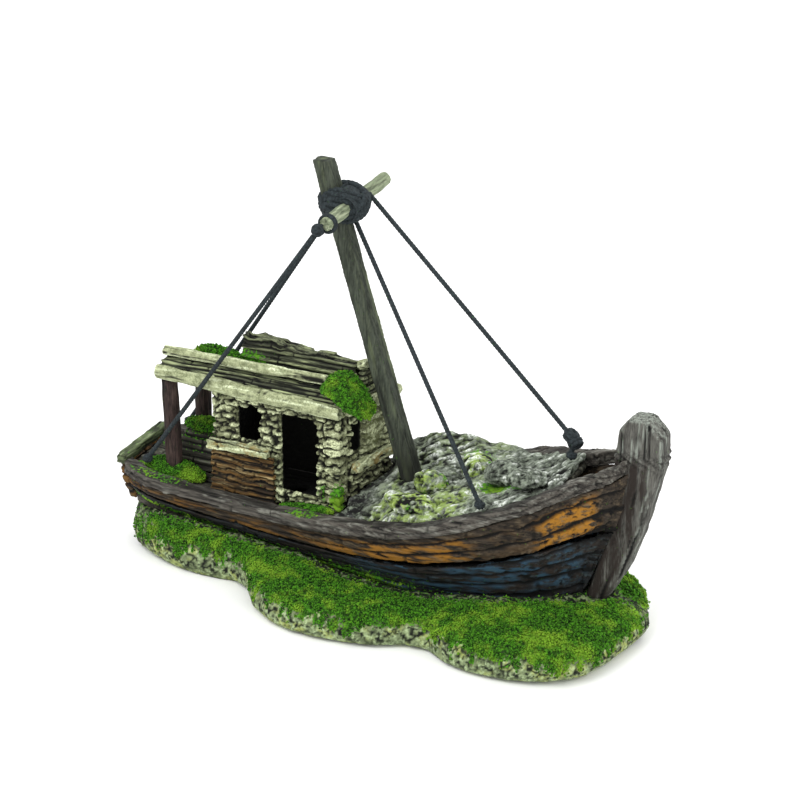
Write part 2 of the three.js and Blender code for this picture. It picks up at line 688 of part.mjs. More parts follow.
// ---- Moss ----
// A cushion lying on a surface, flat below and domed above.
function cushion(centre, radii, thickness, surface) {
  return moved(new THREE.SphereGeometry(1, 16, 8), (x, y, z) => {
    const px = centre[0] + radii[0] * x;
    const py = centre[1] + radii[1] * y;
    return [px, py, surface(px, py) + GAP + thickness * Math.max(0, z)];
  });
}

function aftDeckMoss() {
  const moss = cushion([-77, -SIDE_WALL_Y + 3.4], [13.5, 5.5], 5.5, deckZ);
  return cut(moss, porchPostSolid(STARBOARD, GAP), aftHatchRoom());
}

function aftHatchRoom() {
  const hatchEdge = HATCH_Y - HATCH_HALF_WIDTH - GAP;
  return block([CABIN_AFT_X - 33, hatchEdge, 20], [CABIN_AFT_X, hatchEdge + 26, HATCH_TOP + 12]);
}

function doorMoss() {
  return cushion([CABIN_FRONT_X - 13, -SIDE_WALL_Y - 2.4], [12, 1.9], 2.2, deckZ);
}

function hatchMoss() {
  return cushion([CABIN_AFT_X - 13, HATCH_Y], [10.5, 6], 2.4, () => HATCH_TOP);
}

function roofSurface(x, y) {
  const edge = roofFrontX(y) + GAP + 3;
  const fall = ROOF_RISE - ROOF_BOARD;
  return ROOF_TOP_Z - Math.max(0, x - edge) * fall / (ROOF_SLOPE_RUN + 0.5) * 0.9 + 0.4;
}

function roofFrontMoss() {
  const moss = cushion([CABIN_FRONT_X - 0.5, -8.5], [6.5, 6], 3.4, roofSurface);
  const beamEnd = block([CABIN_FRONT_X - 20, -50, 0], [CABIN_FRONT_X - 7.2, 50, 120]);
  const raised = block([-90, PORT_SLOPE_TOP_Y + 1.4, 60], [frontX(-5) + 2, 50, 120]);
  return cut(moss, beamEnd, raised);
}

function roofAftMoss() {
  return cushion([CABIN_AFT_X - 5, PORT_SLOPE_TOP_Y + 2.6], [8.5, 2.6], 2.6, () => ROOF_TOP_Z);
}

// ---- Mast and rigging ----
function mastX(z) {
  return mix(MAST_FOOT.x, MAST_TOP.x, (z - MAST_FOOT.z) / (MAST_TOP.z - MAST_FOOT.z));
}

function mast(grow = 0) {
  const half = MAST_WIDTH / 2 + grow;
  const low = MAST_FOOT.z - 2 * grow;
  return shapedBox(1, 1, 1, (u, v, w) => {
    const z = mix(low, MAST_TOP.z + 2 * grow, w);
    return [mastX(z) + (2 * u - 1) * half, (2 * v - 1) * half, z];
  });
}

function yardX() {
  return mastX(YARD_HEIGHT) + MAST_WIDTH / 2 + YARD_RADIUS + GAP;
}

function yard(grow = 0) {
  const half = YARD_LENGTH / 2;
  const from = new THREE.Vector3(yardX(), YARD_MIDDLE_Y - half - grow, YARD_HEIGHT - 1);
  const to = new THREE.Vector3(yardX(), YARD_MIDDLE_Y + half + grow, YARD_HEIGHT + 2.5);
  return bar(from, to, YARD_RADIUS + grow, 12);
}

function mastLashing() {
  const ball = ellipsoid([mastX(YARD_HEIGHT) + 3, 0.8, YARD_HEIGHT + 0.8], LASHING_RADII);
  return cut(ball, mast(GAP), yard(GAP));
}

const WHIPPING = new THREE.Vector3(yardX() - 1.5, -23.9, YARD_HEIGHT - 2.3);
const BOW_KNOT = new THREE.Vector3(85, 0, 74.5);

function knot(centre, radii) {
  return ellipsoid(centre.toArray(), radii);
}

// A tight cord: ends stay a gap clear of what it is tied to.
function cord(from, to, clearFrom, clearTo) {
  const along = to.clone().sub(from).normalize();
  const start = from.clone().addScaledVector(along, clearFrom);
  const end = to.clone().addScaledVector(along, -clearTo);
  const path = new THREE.LineCurve3(start, end);
  const radius = CORD_DIAMETER / 2;
  const section = new THREE.Shape(Array.from({ length: 8 }, (_, i) => {
    const angle = i * Math.PI / 4;
    return new THREE.Vector2(radius * Math.cos(angle), radius * Math.sin(angle));
  }));
  const steps = Math.ceil(start.distanceTo(end) / (2.5 * CORD_DIAMETER));
  const geometry = new THREE.ExtrudeGeometry(section, { steps, extrudePath: path, bevelEnabled: false });
  return facingOut(closed(geometry));
}

const AFT_STARBOARD_EYE = new THREE.Vector3(-87, -15.8, 39);
const AFT_PORT_EYE = new THREE.Vector3(-90.4, 21.8, 39.8);
const LASHING_BACK = new THREE.Vector3(-12.4, 12.2, 152);
const FORE_STARBOARD_EYE = new THREE.Vector3(60, -26.5, 54.2);
const FORE_PORT_EYE = new THREE.Vector3(85, -1.2, 68.4);
const LASHING_BOTTOM = new THREE.Vector3(-3.5, 3, 141.5);
const LASHING_SIDE = new THREE.Vector3(1, 8, 150.5);

// ---- Air ----
function airBarb() {
  const x = AFT_X;
  const profile = [
    [TUBE_BORE_RADIUS, TRANSOM + 2], [TUBE_RADIUS, TRANSOM + 2], [TUBE_RADIUS, -GAP], [4.2, -GAP], [4.2, -1.6],
    [TUBE_RADIUS - 0.5, -1.6], [TUBE_RADIUS - 0.5, -1.7], [TUBE_RADIUS, -1.9], [TUBE_RADIUS - 0.6, -2],
    [TUBE_BORE_RADIUS, -2], [TUBE_BORE_RADIUS, TRANSOM + 2],
  ];
  const geometry = new THREE.LatheGeometry(profile.map(([r, h]) => new THREE.Vector2(r, h)), 16);
  geometry.rotateZ(-Math.PI / 2);
  geometry.translate(x, 0, INLET_HEIGHT);
  return facingOut(closed(geometry));
}

function airTube() {
  const startX = AFT_X + TRANSOM + 2 + GAP;
  const endX = STONE_CENTRE.x - STONE_LENGTH / 2 - GAP;
  const route = new THREE.CatmullRomCurve3([
    [startX, INLET_HEIGHT], [startX + 8, INLET_HEIGHT - 0.5], [mix(startX, endX, 0.4), 25],
    [mix(startX, endX, 0.7), 20.5], [endX - 5, STONE_CENTRE.z + 0.3], [endX, STONE_CENTRE.z],
  ].map(([x, z]) => new THREE.Vector3(x, 0, z)));
  const ring = new THREE.Shape();
  ring.absarc(0, 0, TUBE_RADIUS, 0, 2 * Math.PI);
  const bore = new THREE.Path();
  bore.absarc(0, 0, TUBE_BORE_RADIUS, 0, 2 * Math.PI);
  ring.holes.push(bore);
  return facingOut(closed(new THREE.ExtrudeGeometry(ring, {
    steps: 14, extrudePath: route, bevelEnabled: false, curveSegments: 5,
  })));
}

function airStone(grow = 0) {
  const half = STONE_LENGTH / 2 + grow;
  const from = STONE_CENTRE.clone().add(new THREE.Vector3(-half, 0, 0));
  const to = STONE_CENTRE.clone().add(new THREE.Vector3(half, 0, 0));
  return bar(from, to, STONE_RADIUS + grow, 16);
}

// ---- Finishes ----
function finish(color, roughness = 0.9) {
  return new THREE.MeshStandardMaterial({ color, roughness, metalness: 0 });
}

const ROCK = finish(0x7d8a6c);
const MOSS = finish(0x5f9a1e);
const WEATHERED_WOOD = finish(0x5d564c);
const OCHRE_PLANKS = finish(0xa8702a);
const BLUE_PLANKS = finish(0x2b3f4a);
const GREY_DECK = finish(0x6b6a60);
const PALE_STONE = finish(0xc9cfa6);
const ROOF_BOARDS = finish(0x6f7264);
const PALE_BEAM = finish(0xd5d9b0);
const RUBBLE = finish(0xb9bcb0);
const BROWN_POST = finish(0x4c3a35);
const MAST_WOOD = finish(0x3d4238);
const YARD_WOOD = finish(0x9ca083);
const CORD = finish(0x1f2a2c);
const PLASTIC = finish(0xd8dad6, 0.4);
const AIR_STONE = finish(0x6f7fa3);

// ---- Assembly ----
const boat = new THREE.Group();

function add(name, geometry, material) {
  const mesh = new THREE.Mesh(geometry, material);
  mesh.name = name;
  boat.add(mesh);
}

add('rock_base', rockBase(), ROCK);
add('keel_board', keelBoard(), WEATHERED_WOOD);
for (const [label, side] of [['starboard', STARBOARD], ['port', PORT]]) {
  add(`${label}_lower_strake`, strake(side, 0, STRAKE_SPLIT - 0.01), BLUE_PLANKS);
  add(`${label}_upper_strake`, strake(side, STRAKE_SPLIT + 0.01, 1), OCHRE_PLANKS);
  add(`${label}_gunwale`, gunwale(side), WEATHERED_WOOD);
  add(`${label}_eave_beam`, eaveBeam(side), PALE_BEAM);
  add(`${label}_porch_post`, porchPostSolid(side), BROWN_POST);
}
add('transom', transom(), OCHRE_PLANKS);
add('stern_rail', sternRail(), WEATHERED_WOOD);
add('stem_post', stemPost(), WEATHERED_WOOD);
add('main_deck', mainDeck(), GREY_DECK);
add('fore_heap', foreHeap(), RUBBLE);
BOULDERS.forEach((_, index) => add(`boulder_${index + 1}`, boulder(index), RUBBLE));
add('cabin_starboard_wall', starboardWall(), PALE_STONE);
add('cabin_port_wall', portWall(), PALE_STONE);
add('cabin_front_wall', frontWall(), PALE_STONE);
add('cabin_rear_wall', rearWall(), PALE_STONE);
add('corner_column', cornerColumn(), PALE_STONE);
add('lower_cladding', lowerCladding(), OCHRE_PLANKS);
add('window_sill', windowSill(), PALE_BEAM);
add('front_sill', frontSill(), PALE_BEAM);
add('front_eave_beam', frontEaveBeam(), PALE_BEAM);
add('aft_eave_beam', aftEaveBeam(), PALE_BEAM);
add('roof_front_slope', frontSlope(), ROOF_BOARDS);
add('roof_starboard_slope', sideSlope(), ROOF_BOARDS);
add('roof_port_slope', portSlope(), ROOF_BOARDS);
add('upper_beam', upperBeam(), PALE_BEAM);
add('raised_starboard_boards', raisedStarboard(), ROOF_BOARDS);
add('raised_top_boards', raisedTop(), ROOF_BOARDS);
add('raised_port_boards', raisedPort(), ROOF_BOARDS);
add('raised_front_board', raisedFront(), ROOF_BOARDS);
add('raised_end_beam', raisedEndBeam(), PALE_BEAM);
add('aft_hatch', aftHatch(), GREY_DECK);
add('moss_aft_deck', aftDeckMoss(), MOSS);
add('moss_doorway', doorMoss(), MOSS);
add('moss_hatch', hatchMoss(), MOSS);
add('moss_roof_front', roofFrontMoss(), MOSS);
add('moss_roof_aft', roofAftMoss(), MOSS);
add('mast', mast(), MAST_WOOD);
add('yard', yard(), YARD_WOOD);
add('mast_lashing', mastLashing(), CORD);
add('yard_whipping', knot(WHIPPING, [2.3, 2.4, 2.6]), CORD);
add('bow_knot', knot(BOW_KNOT, [3.2, 3, 3.2]), CORD);
add('aft_starboard_stay', cord(WHIPPING, AFT_STARBOARD_EYE, 2.9, 0), CORD);
add('aft_port_stay', cord(LASHING_BACK, AFT_PORT_EYE, 0, 0), CORD);
add('fore_starboard_stay', cord(LASHING_BOTTOM, FORE_STARBOARD_EYE, 1.5, 0), CORD);
add('fore_port_stay', cord(LASHING_SIDE, BOW_KNOT, 1.5, 3.5), CORD);
add('bow_lanyard', cord(BOW_KNOT, FORE_PORT_EYE, 3.4, 0), CORD);
add('air_inlet_barb', airBarb(), PLASTIC);
add('air_tube', airTube(), PLASTIC);
add('air_stone', airStone(), AIR_STONE);

// Origin under the middle of the ornament, on the surface it stands on.
const stays = ['aft_starboard_stay', 'aft_port_stay', 'fore_starboard_stay', 'fore_port_stay'];
const bounds = new THREE.Box3();
for (const mesh of boat.children) {
  if (!stays.includes(mesh.name)) bounds.expandByObject(mesh);
}
const middle = bounds.getCenter(new THREE.Vector3());
boat.position.set(-middle.x, -middle.y, -bounds.min.z);

export default boat;
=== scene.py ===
"""A sunken fishing boat on a mossy rock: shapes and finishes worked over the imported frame."""

import logging
import math
from collections.abc import Callable, Sequence
from dataclasses import dataclass, field
from enum import Enum

import bmesh
import bpy
import numpy as np
from mathutils import Euler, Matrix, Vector

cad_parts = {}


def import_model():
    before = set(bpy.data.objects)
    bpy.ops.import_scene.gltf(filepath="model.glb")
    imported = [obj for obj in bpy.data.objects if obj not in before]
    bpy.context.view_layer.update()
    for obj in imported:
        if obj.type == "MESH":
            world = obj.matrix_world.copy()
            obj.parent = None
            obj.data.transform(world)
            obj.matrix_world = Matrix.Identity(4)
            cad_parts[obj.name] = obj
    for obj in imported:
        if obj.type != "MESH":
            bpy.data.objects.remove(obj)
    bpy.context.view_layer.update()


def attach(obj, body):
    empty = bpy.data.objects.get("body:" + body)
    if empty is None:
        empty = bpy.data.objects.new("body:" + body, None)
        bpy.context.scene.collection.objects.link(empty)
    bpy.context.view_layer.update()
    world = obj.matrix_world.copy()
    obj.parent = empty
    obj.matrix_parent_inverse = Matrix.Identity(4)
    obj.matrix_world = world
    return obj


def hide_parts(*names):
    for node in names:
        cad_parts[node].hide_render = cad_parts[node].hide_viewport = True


LOG = logging.getLogger("boat")
MM = 0.001
ROOT = "root"
SHIFT = np.array([-9.0, 8.041, 0.0])   # from the hull's own origin to the origin of the whole ornament, mm
MAST_FOOT = (21.5, 41.0)               # where the mast's middle line crosses the deck: x and z, mm
MAST_LEAN = -37.2 / 125.6              # run of the mast along x for each mm that it rises
Array = np.ndarray
Colour = tuple[float, float, float]
Size = float | tuple[float, float, float]
Finishes = dict[str, bpy.types.Material]


def paint(code: str) -> Colour:
    """Turns a six-digit screen colour into linear red, green and blue."""
    shares = [int(code[i:i + 2], 16) / 255 for i in (0, 2, 4)]
    return tuple(s / 12.92 if s <= 0.04045 else ((s + 0.055) / 1.055) ** 2.4 for s in shares)


def opaque(value: object) -> object:
    """Adds full cover to a plain colour, and leaves sockets and numbers as they are."""
    return (*value, 1.0) if isinstance(value, tuple) and len(value) == 3 else value


def step(value: Array, low: float, high: float) -> Array:
    """Rises smoothly from 0 at low to 1 at high."""
    share = np.clip((value - low) / (high - low), 0.0, 1.0)
    return share * share * (3 - 2 * share)


@dataclass(frozen=True)
class Patch:
    """A soft round patch: its strength at the centre, 0 outside its radii.

    centre and radii are in mm along x, y and z, in the hull's own frame.
    """

    centre: tuple[float, float, float]
    radii: tuple[float, float, float]
    strength: float = 1.0

    def over(self, points: Array) -> Array:
        """Reads the patch at each point, in mm."""
        away = np.linalg.norm((points - np.array(self.centre)) / np.array(self.radii), axis=1)
        return self.strength * (1 - step(away, 0.35, 1.0))


def patched(points: Array, patches: Sequence[Patch]) -> Array:
    """Adds up several patches at each point."""
    return sum(patch.over(points) for patch in patches)


def to_frame(points: Array) -> Array:
    """Turns mm in the hull's own frame into metres in the ornament's frame."""
    return (points + SHIFT) * MM


def mesh_points(mesh: bpy.types.Mesh) -> Array:
    """Reads a mesh's points, in mm in the hull's own frame."""
    flat = np.empty(len(mesh.vertices) * 3)
    mesh.vertices.foreach_get("co", flat)
    return flat.reshape(-1, 3) / MM - SHIFT


def write_mask(mesh: bpy.types.Mesh, name: str, value: Array) -> None:
    """Writes one number for each point of a mesh, which the finishes read by name."""
    layer = mesh.attributes.new(name, "FLOAT", "POINT")
    layer.data.foreach_set("value", value.astype(np.float32))


@dataclass(frozen=True)
class CabinPlan:
    """Where the cabin stands on the deck, mm; skew is the front's run along x for each mm of y."""

    aft: float = -57.0
    front: float = -3.0
    side: float = 15.0
    skew: float = 0.234

    def front_line(self, y: Array) -> Array:
        """The cabin front's place along the boat, mm, at y."""
        return self.front + self.skew * (y + self.side)


PLAN = CabinPlan()


class Grain(Enum):
    """Which way the fibres of a piece run."""

    LENGTHWISE = 0
    ACROSS = 1
    UPRIGHT = 2
    EVEN = 3

    def size(self, fine: float, run: float) -> tuple[float, float, float]:
        """Noise size in mm: fine everywhere, run along the fibres."""
        sizes = [fine, fine, fine]
        if self is not Grain.EVEN:
            sizes[self.value] = run
        return tuple(sizes)


@dataclass(frozen=True)
class Noise:
    """Smooth seeded noise read at many points at once, from -1 to 1.

    size is the distance in mm from one lump to the next: one number, or one each for x, y and z.
    """

    size: Size
    seed: int = 1
    octaves: int = 3
    fading: float = 0.55          # strength of each finer layer next to the one before
    finer: float = 2.03           # how much finer each layer is than the one before

    def corner(self, cell: Array) -> Array:
        """The fixed random value of each whole-number cell corner, stirred by large odd numbers."""
        mixed = cell[:, 0] * 374761393 + cell[:, 1] * 668265263 + cell[:, 2] * 1103515245
        mixed = mixed + self.seed * 97531
        mixed = mixed & 0xFFFFFFFF
        mixed = ((mixed ^ (mixed >> 13)) * 1274126177) & 0xFFFFFFFF
        mixed = mixed ^ (mixed >> 16)
        return (mixed & 0xFFFF) / 32767.5 - 1

    def layer(self, where: Array) -> Array:
        """One layer of noise, blended between the corners of each cell."""
        cell = np.floor(where).astype(np.int64)
        part = where - cell
        part = part * part * (3 - 2 * part)
        total = np.zeros(len(where))
        for corner in np.ndindex(2, 2, 2):
            pick = np.array(corner)
            weight = np.prod(np.where(pick == 1, part, 1 - part), axis=1)
            total += weight * self.corner(cell + pick)
        return total

    def read(self, points: Array) -> Array:
        """Reads the noise.

        Args:
            points: positions in mm.

        Returns:
            One value for each point, from -1 to 1.
        """
        where = points / np.array(self.size)
        total = np.zeros(len(points))
        weight, reach = 1.0, 0.0
        for octave in range(self.octaves):
            total += weight * self.layer(where + 31.7 * octave)
            reach += weight
            weight *= self.fading
            where = where * self.finer
        return total / reach


@dataclass(frozen=True)
class Cells:
    """Irregular cells side by side, such as stones or pits, each about size mm across."""

    size: Size
    seed: int = 1
    looseness: float = 0.42

    def read(self, points: Array) -> tuple[Array, Array]:
        """Reads the cells.

        Args:
            points: positions in mm.

        Returns:
            Distance to the nearest cell's middle, and how far the second one is beyond it.
        """
        where = points / np.array(self.size)
        cell = np.floor(where).astype(np.int64)
        jitter = [Noise(1, self.seed + k) for k in (11, 23, 37)]
        nearest = np.full(len(points), 9.0)
        second = np.full(len(points), 9.0)
        for offset in np.ndindex(3, 3, 3):
            home = cell + np.array(offset) - 1
            middle = home + 0.5 + self.looseness * np.stack([one.corner(home) for one in jitter], axis=1)
            away = np.linalg.norm(where - middle, axis=1)
            second = np.minimum(second, np.maximum(nearest, away))
            nearest = np.minimum(nearest, away)
        return nearest, second - nearest


@dataclass(frozen=True)
class Boards:
    """Boards laid edge to edge.

    width, run between butts and the seam's half width are in mm, and so is the seams' wander;
    butts is how strongly the butt joints show, 0 to 1.
    """

    width: float
    run: float = 60.0
    seam: float = 0.45
    seed: int = 3
    wander: float = 0.8
    butts: float = 1.0

    def read(self, across: Array, along: Array, points: Array) -> tuple[Array, Array]:
        """Finds the seams.

        Args:
            across: position over the boards, mm.
            along: position down the boards, mm.
            points: positions in mm, for the wander of the seams.

        Returns:
            Seam mask from 0 to 1, and a fixed random value from 0 to 1 for each board.
        """
        drift = Noise((26, 8, 8), self.seed, 2).read(points) * 0.8
        drift = drift + Noise((6, 5, 5), self.seed + 1, 2).read(points) * (self.wander - 0.8)
        place = (across + drift) / self.width
        board = np.floor(place).astype(np.int64)
        edge = np.minimum(place - board, 1 - place + board) * self.width
        cell = np.stack([board, board * 0, board * 0], axis=1)
        luck = Noise(1, self.seed + 5).corner(cell) * 0.5 + 0.5
        part = along / self.run + luck * 7.3
        butt = np.abs(part - np.round(part)) * self.run
        open_width = self.seam * (1 + 0.6 * Noise(9, self.seed + 2, 1).read(points))
        seam = 1 - step(edge, open_width * 0.4, open_width * 1.5)
        return np.maximum(seam, self.butts * (1 - step(butt, 0.2, 0.6))), luck


@dataclass
class Workpiece:
    """Bodies of the frame taken up as one fine mesh, to be carved and painted.

    voxel is the size of its facets in mm.
    """

    name: str
    nodes: Sequence[str]
    voxel: float = 0.5
    smoothing: int = 2
    obj: bpy.types.Object = field(init=False)
    points: Array = field(init=False)
    normals: Array = field(init=False)
    masks: dict[str, Array] = field(init=False, default_factory=dict)

    def __post_init__(self) -> None:
        """Joins the bodies, gives them an even fine mesh and reads it."""
        joined = bmesh.new()
        for node in self.nodes:
            joined.from_mesh(bpy.data.objects[node].data)
        rough = bpy.data.meshes.new(self.name + "_rough")
        joined.to_mesh(rough)
        joined.free()
        carrier = bpy.data.objects.new(self.name + "_rough", rough)
        bpy.context.scene.collection.objects.link(carrier)
        remesh = carrier.modifiers.new("even facets", "REMESH")
        remesh.mode = "VOXEL"
        remesh.voxel_size = self.voxel * MM
        relax = carrier.modifiers.new("relax", "SMOOTH")
        relax.iterations = self.smoothing
        relax.factor = 0.5
        bpy.context.view_layer.update()
        ready = carrier.evaluated_get(bpy.context.evaluated_depsgraph_get())
        mesh = bpy.data.meshes.new_from_object(ready)
        bpy.data.objects.remove(carrier)
        self.obj = new_object(self.name, mesh)
        self.read()

    def read(self) -> None:
        """Reads the mesh's points and normals, in mm in the hull's own frame."""
        mesh = self.obj.data
        self.points = mesh_points(mesh)
        flat = np.empty(len(mesh.vertices) * 3)
        mesh.vertices.foreach_get("normal", flat)
        self.normals = flat.reshape(-1, 3)

    def keep(self) -> None:
        """Writes the moved points to the mesh and reads it again."""
        self.obj.data.vertices.foreach_set("co", to_frame(self.points).ravel())
        self.obj.data.update()
        self.read()

    def carve(self, offset: Array | float) -> None:
        """Moves each point along its normal, mm; less than 0 cuts in."""
        self.points = self.points + self.normals * np.reshape(offset, (-1, 1))
        self.keep()

    def mask(self, name: str, value: Array) -> None:
        """Keeps the larger of the mask so far and this value."""
        value = np.clip(value, 0, 1)
        self.masks[name] = np.maximum(self.masks.get(name, 0), value)

    def hide(self, name: str, value: Array | float) -> None:
        """Weakens a mask by this share."""
        if name in self.masks:
            self.masks[name] = self.masks[name] * (1 - np.clip(value, 0, 1))

    def finish(self, material: bpy.types.Material, slot: str) -> None:
        """Writes the masks, puts the finish on and settles the piece in the frame."""
        for name, value in self.masks.items():
            write_mask(self.obj.data, name, value)
        settle(self.obj, material, self.nodes)


def new_object(name: str, mesh: bpy.types.Mesh) -> bpy.types.Object:
    """Puts a mesh in the scene as a smooth-shaded object."""
    mesh.polygons.foreach_set("use_smooth", [True] * len(mesh.polygons))
    obj = bpy.data.objects.new(name, mesh)
    bpy.context.scene.collection.objects.link(obj)
    return obj


def settle(obj: bpy.types.Object, material: bpy.types.Material, nodes: Sequence[str] = ()) -> None:
    """Gives a piece its finish and its body, and hides the nodes that it stands for."""
    obj.data.materials.clear()
    obj.data.materials.append(material)
    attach(obj, ROOT)
    if nodes:
        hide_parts(*nodes)
    LOG.info("%s: %d faces", obj.name, len(obj.data.polygons))


# ---- Finishes ----
class Nodes:
    """Short calls for laying out a node tree."""

    def __init__(self, tree: bpy.types.NodeTree) -> None:
        """Starts from an empty tree."""
        self.tree = tree
        tree.nodes.clear()

    def add(self, kind: str, inputs: dict | None = None, **settings: object) -> bpy.types.Node:
        """Adds a node.

        Args:
            kind: the node's type without its Shader prefix.
            inputs: values or sockets for its inputs, by name or number.
            settings: its own properties.

        Returns:
            The new node.
        """
        plain = kind in ("GroupInput", "GroupOutput")
        node = self.tree.nodes.new("Node" + kind if plain else "ShaderNode" + kind)
        for key, value in settings.items():
            setattr(node, key, value)
        for key, value in (inputs or {}).items():
            if isinstance(value, bpy.types.NodeSocket):
                self.tree.links.new(value, node.inputs[key])
            else:
                node.inputs[key].default_value = value
        return node

    def shared(self, tree: bpy.types.NodeTree, inputs: dict) -> bpy.types.Node:
        """Places one of the shared groups with its own values."""
        return self.add("Group", inputs, node_tree=tree)

    def mix(self, factor: object, first: object, second: object) -> bpy.types.NodeSocket:
        """Mixes two colours by a factor."""
        return self.add("Mix", {0: factor, 6: opaque(first), 7: opaque(second)}, data_type="RGBA").outputs[2]

    def math(self, operation: str, first: object, second: object) -> bpy.types.NodeSocket:
        """One sum of two numbers, kept between 0 and 1."""
        return self.add("Math", {0: first, 1: second}, operation=operation, use_clamp=True).outputs[0]

    def spread(self, value: object, low: float, high: float) -> bpy.types.NodeSocket:
        """Stretches low to high over 0 to 1."""
        node = self.add("MapRange", {0: value, 1: low, 2: high}, interpolation_type="SMOOTHSTEP")
        return node.outputs[0]

    def noise(self, vector: object, scale: object, detail: float = 4.0) -> bpy.types.NodeSocket:
        """The strength of a noise texture."""
        inputs = {"Vector": vector, "Scale": scale, "Detail": detail, "Roughness": 0.6}
        return self.add("TexNoise", inputs).outputs[0]

    def attribute(self, name: str) -> bpy.types.NodeSocket:
        """A mask written on the mesh."""
        return self.add("Attribute", attribute_name=name).outputs["Fac"]


def new_group(name: str, sockets: dict[str, str],
              outputs: dict[str, str]) -> tuple[Nodes, bpy.types.Node, bpy.types.Node]:
    """Starts a shader node group.

    Args:
        name: the group's name.
        sockets: its inputs, name to kind.
        outputs: its outputs, name to kind.

    Returns:
        The layout helper, the input node and the output node.
    """
    tree = bpy.data.node_groups.new(name, "ShaderNodeTree")
    for side, names in (("INPUT", sockets), ("OUTPUT", outputs)):
        for label, kind in names.items():
            tree.interface.new_socket(name=label, in_out=side, socket_type="NodeSocket" + kind)
    nodes = Nodes(tree)
    return nodes, nodes.add("GroupInput"), nodes.add("GroupOutput")


class Effects:
    """The node groups that the finishes share, each built once."""

    def __init__(self) -> None:
        """Builds the groups."""
        self.mottle = self.build_mottle()
        self.wear = self.build_wear()
        self.cover = self.build_cover()

    def build_mottle(self) -> bpy.types.NodeTree:
        """Two tones broken up by coarse and fine noise."""
        nodes, given, out = new_group(
            "Mottle", {"Vector": "Vector", "Scale": "Float", "Dark": "Color", "Light": "Color"},
            {"Color": "Color", "Height": "Float"})
        coarse = nodes.noise(given.outputs["Vector"], given.outputs["Scale"])
        fine_scale = nodes.add("Math", {0: given.outputs["Scale"], 1: 4.5}, operation="MULTIPLY").outputs[0]
        fine = nodes.noise(given.outputs["Vector"], fine_scale, 6.0)
        both = nodes.add("Math", {0: coarse, 1: fine}, operation="ADD").outputs[0]
        tone = nodes.spread(both, 0.72, 1.3)
        mixed = nodes.mix(tone, given.outputs["Dark"], given.outputs["Light"])
        nodes.tree.links.new(mixed, out.inputs["Color"])
        nodes.tree.links.new(both, out.inputs["Height"])
        return nodes.tree

    def build_wear(self) -> bpy.types.NodeTree:
        """Dark wash in the hollows, which also paints shade where a piece's seam mask marks it, and pale dry
        brushing on the high spots.
        """
        nodes, given, out = new_group(
            "Wear", {"Color": "Color", "Vector": "Vector", "Hollow": "Float", "High": "Float",
                     "Wash": "Color", "Brush": "Color", "Scale": "Float"}, {"Color": "Color"})
        grit = nodes.noise(given.outputs["Vector"], given.outputs["Scale"], 5.0)
        high = nodes.math("MULTIPLY", given.outputs["High"], nodes.spread(grit, 0.36, 0.6))
        brushed = nodes.mix(high, given.outputs["Color"], given.outputs["Brush"])
        speck = nodes.spread(grit, 0.6, 0.74)
        hollow = nodes.math("MAXIMUM", given.outputs["Hollow"], nodes.math("MULTIPLY", speck, 0.75))
        nodes.tree.links.new(nodes.mix(hollow, brushed, given.outputs["Wash"]), out.inputs["Color"])
        return nodes.tree

    def build_cover(self) -> bpy.types.NodeTree:
        """Moss that creeps over a finish where its cover mask says so."""
        nodes, given, out = new_group(
            "Moss cover", {"Color": "Color", "Vector": "Vector", "Cover": "Float"},
            {"Color": "Color", "Cover": "Float"})
        fine = nodes.noise(given.outputs["Vector"], 900.0, 5.0)
        broad = nodes.noise(given.outputs["Vector"], 110.0, 3.0)
        green = nodes.mix(nodes.spread(fine, 0.34, 0.66), paint("0f2806"), paint("4b8a18"))
        sunlit = nodes.math("MULTIPLY", nodes.spread(broad, 0.48, 0.68), 0.6)
        green = nodes.mix(sunlit, green, paint("86ad2c"))
        ragged = nodes.add("Math", {0: nodes.spread(fine, 0.2, 0.8), 1: 0.5}, operation="SUBTRACT").outputs[0]
        ragged_cover = nodes.add("Math", {0: given.outputs["Cover"], 1: ragged}, operation="ADD").outputs[0]
        edge = nodes.spread(ragged_cover, 0.35, 0.6)
        nodes.tree.links.new(nodes.mix(edge, given.outputs["Color"], green), out.inputs["Color"])
        nodes.tree.links.new(edge, out.inputs["Cover"])
        return nodes.tree


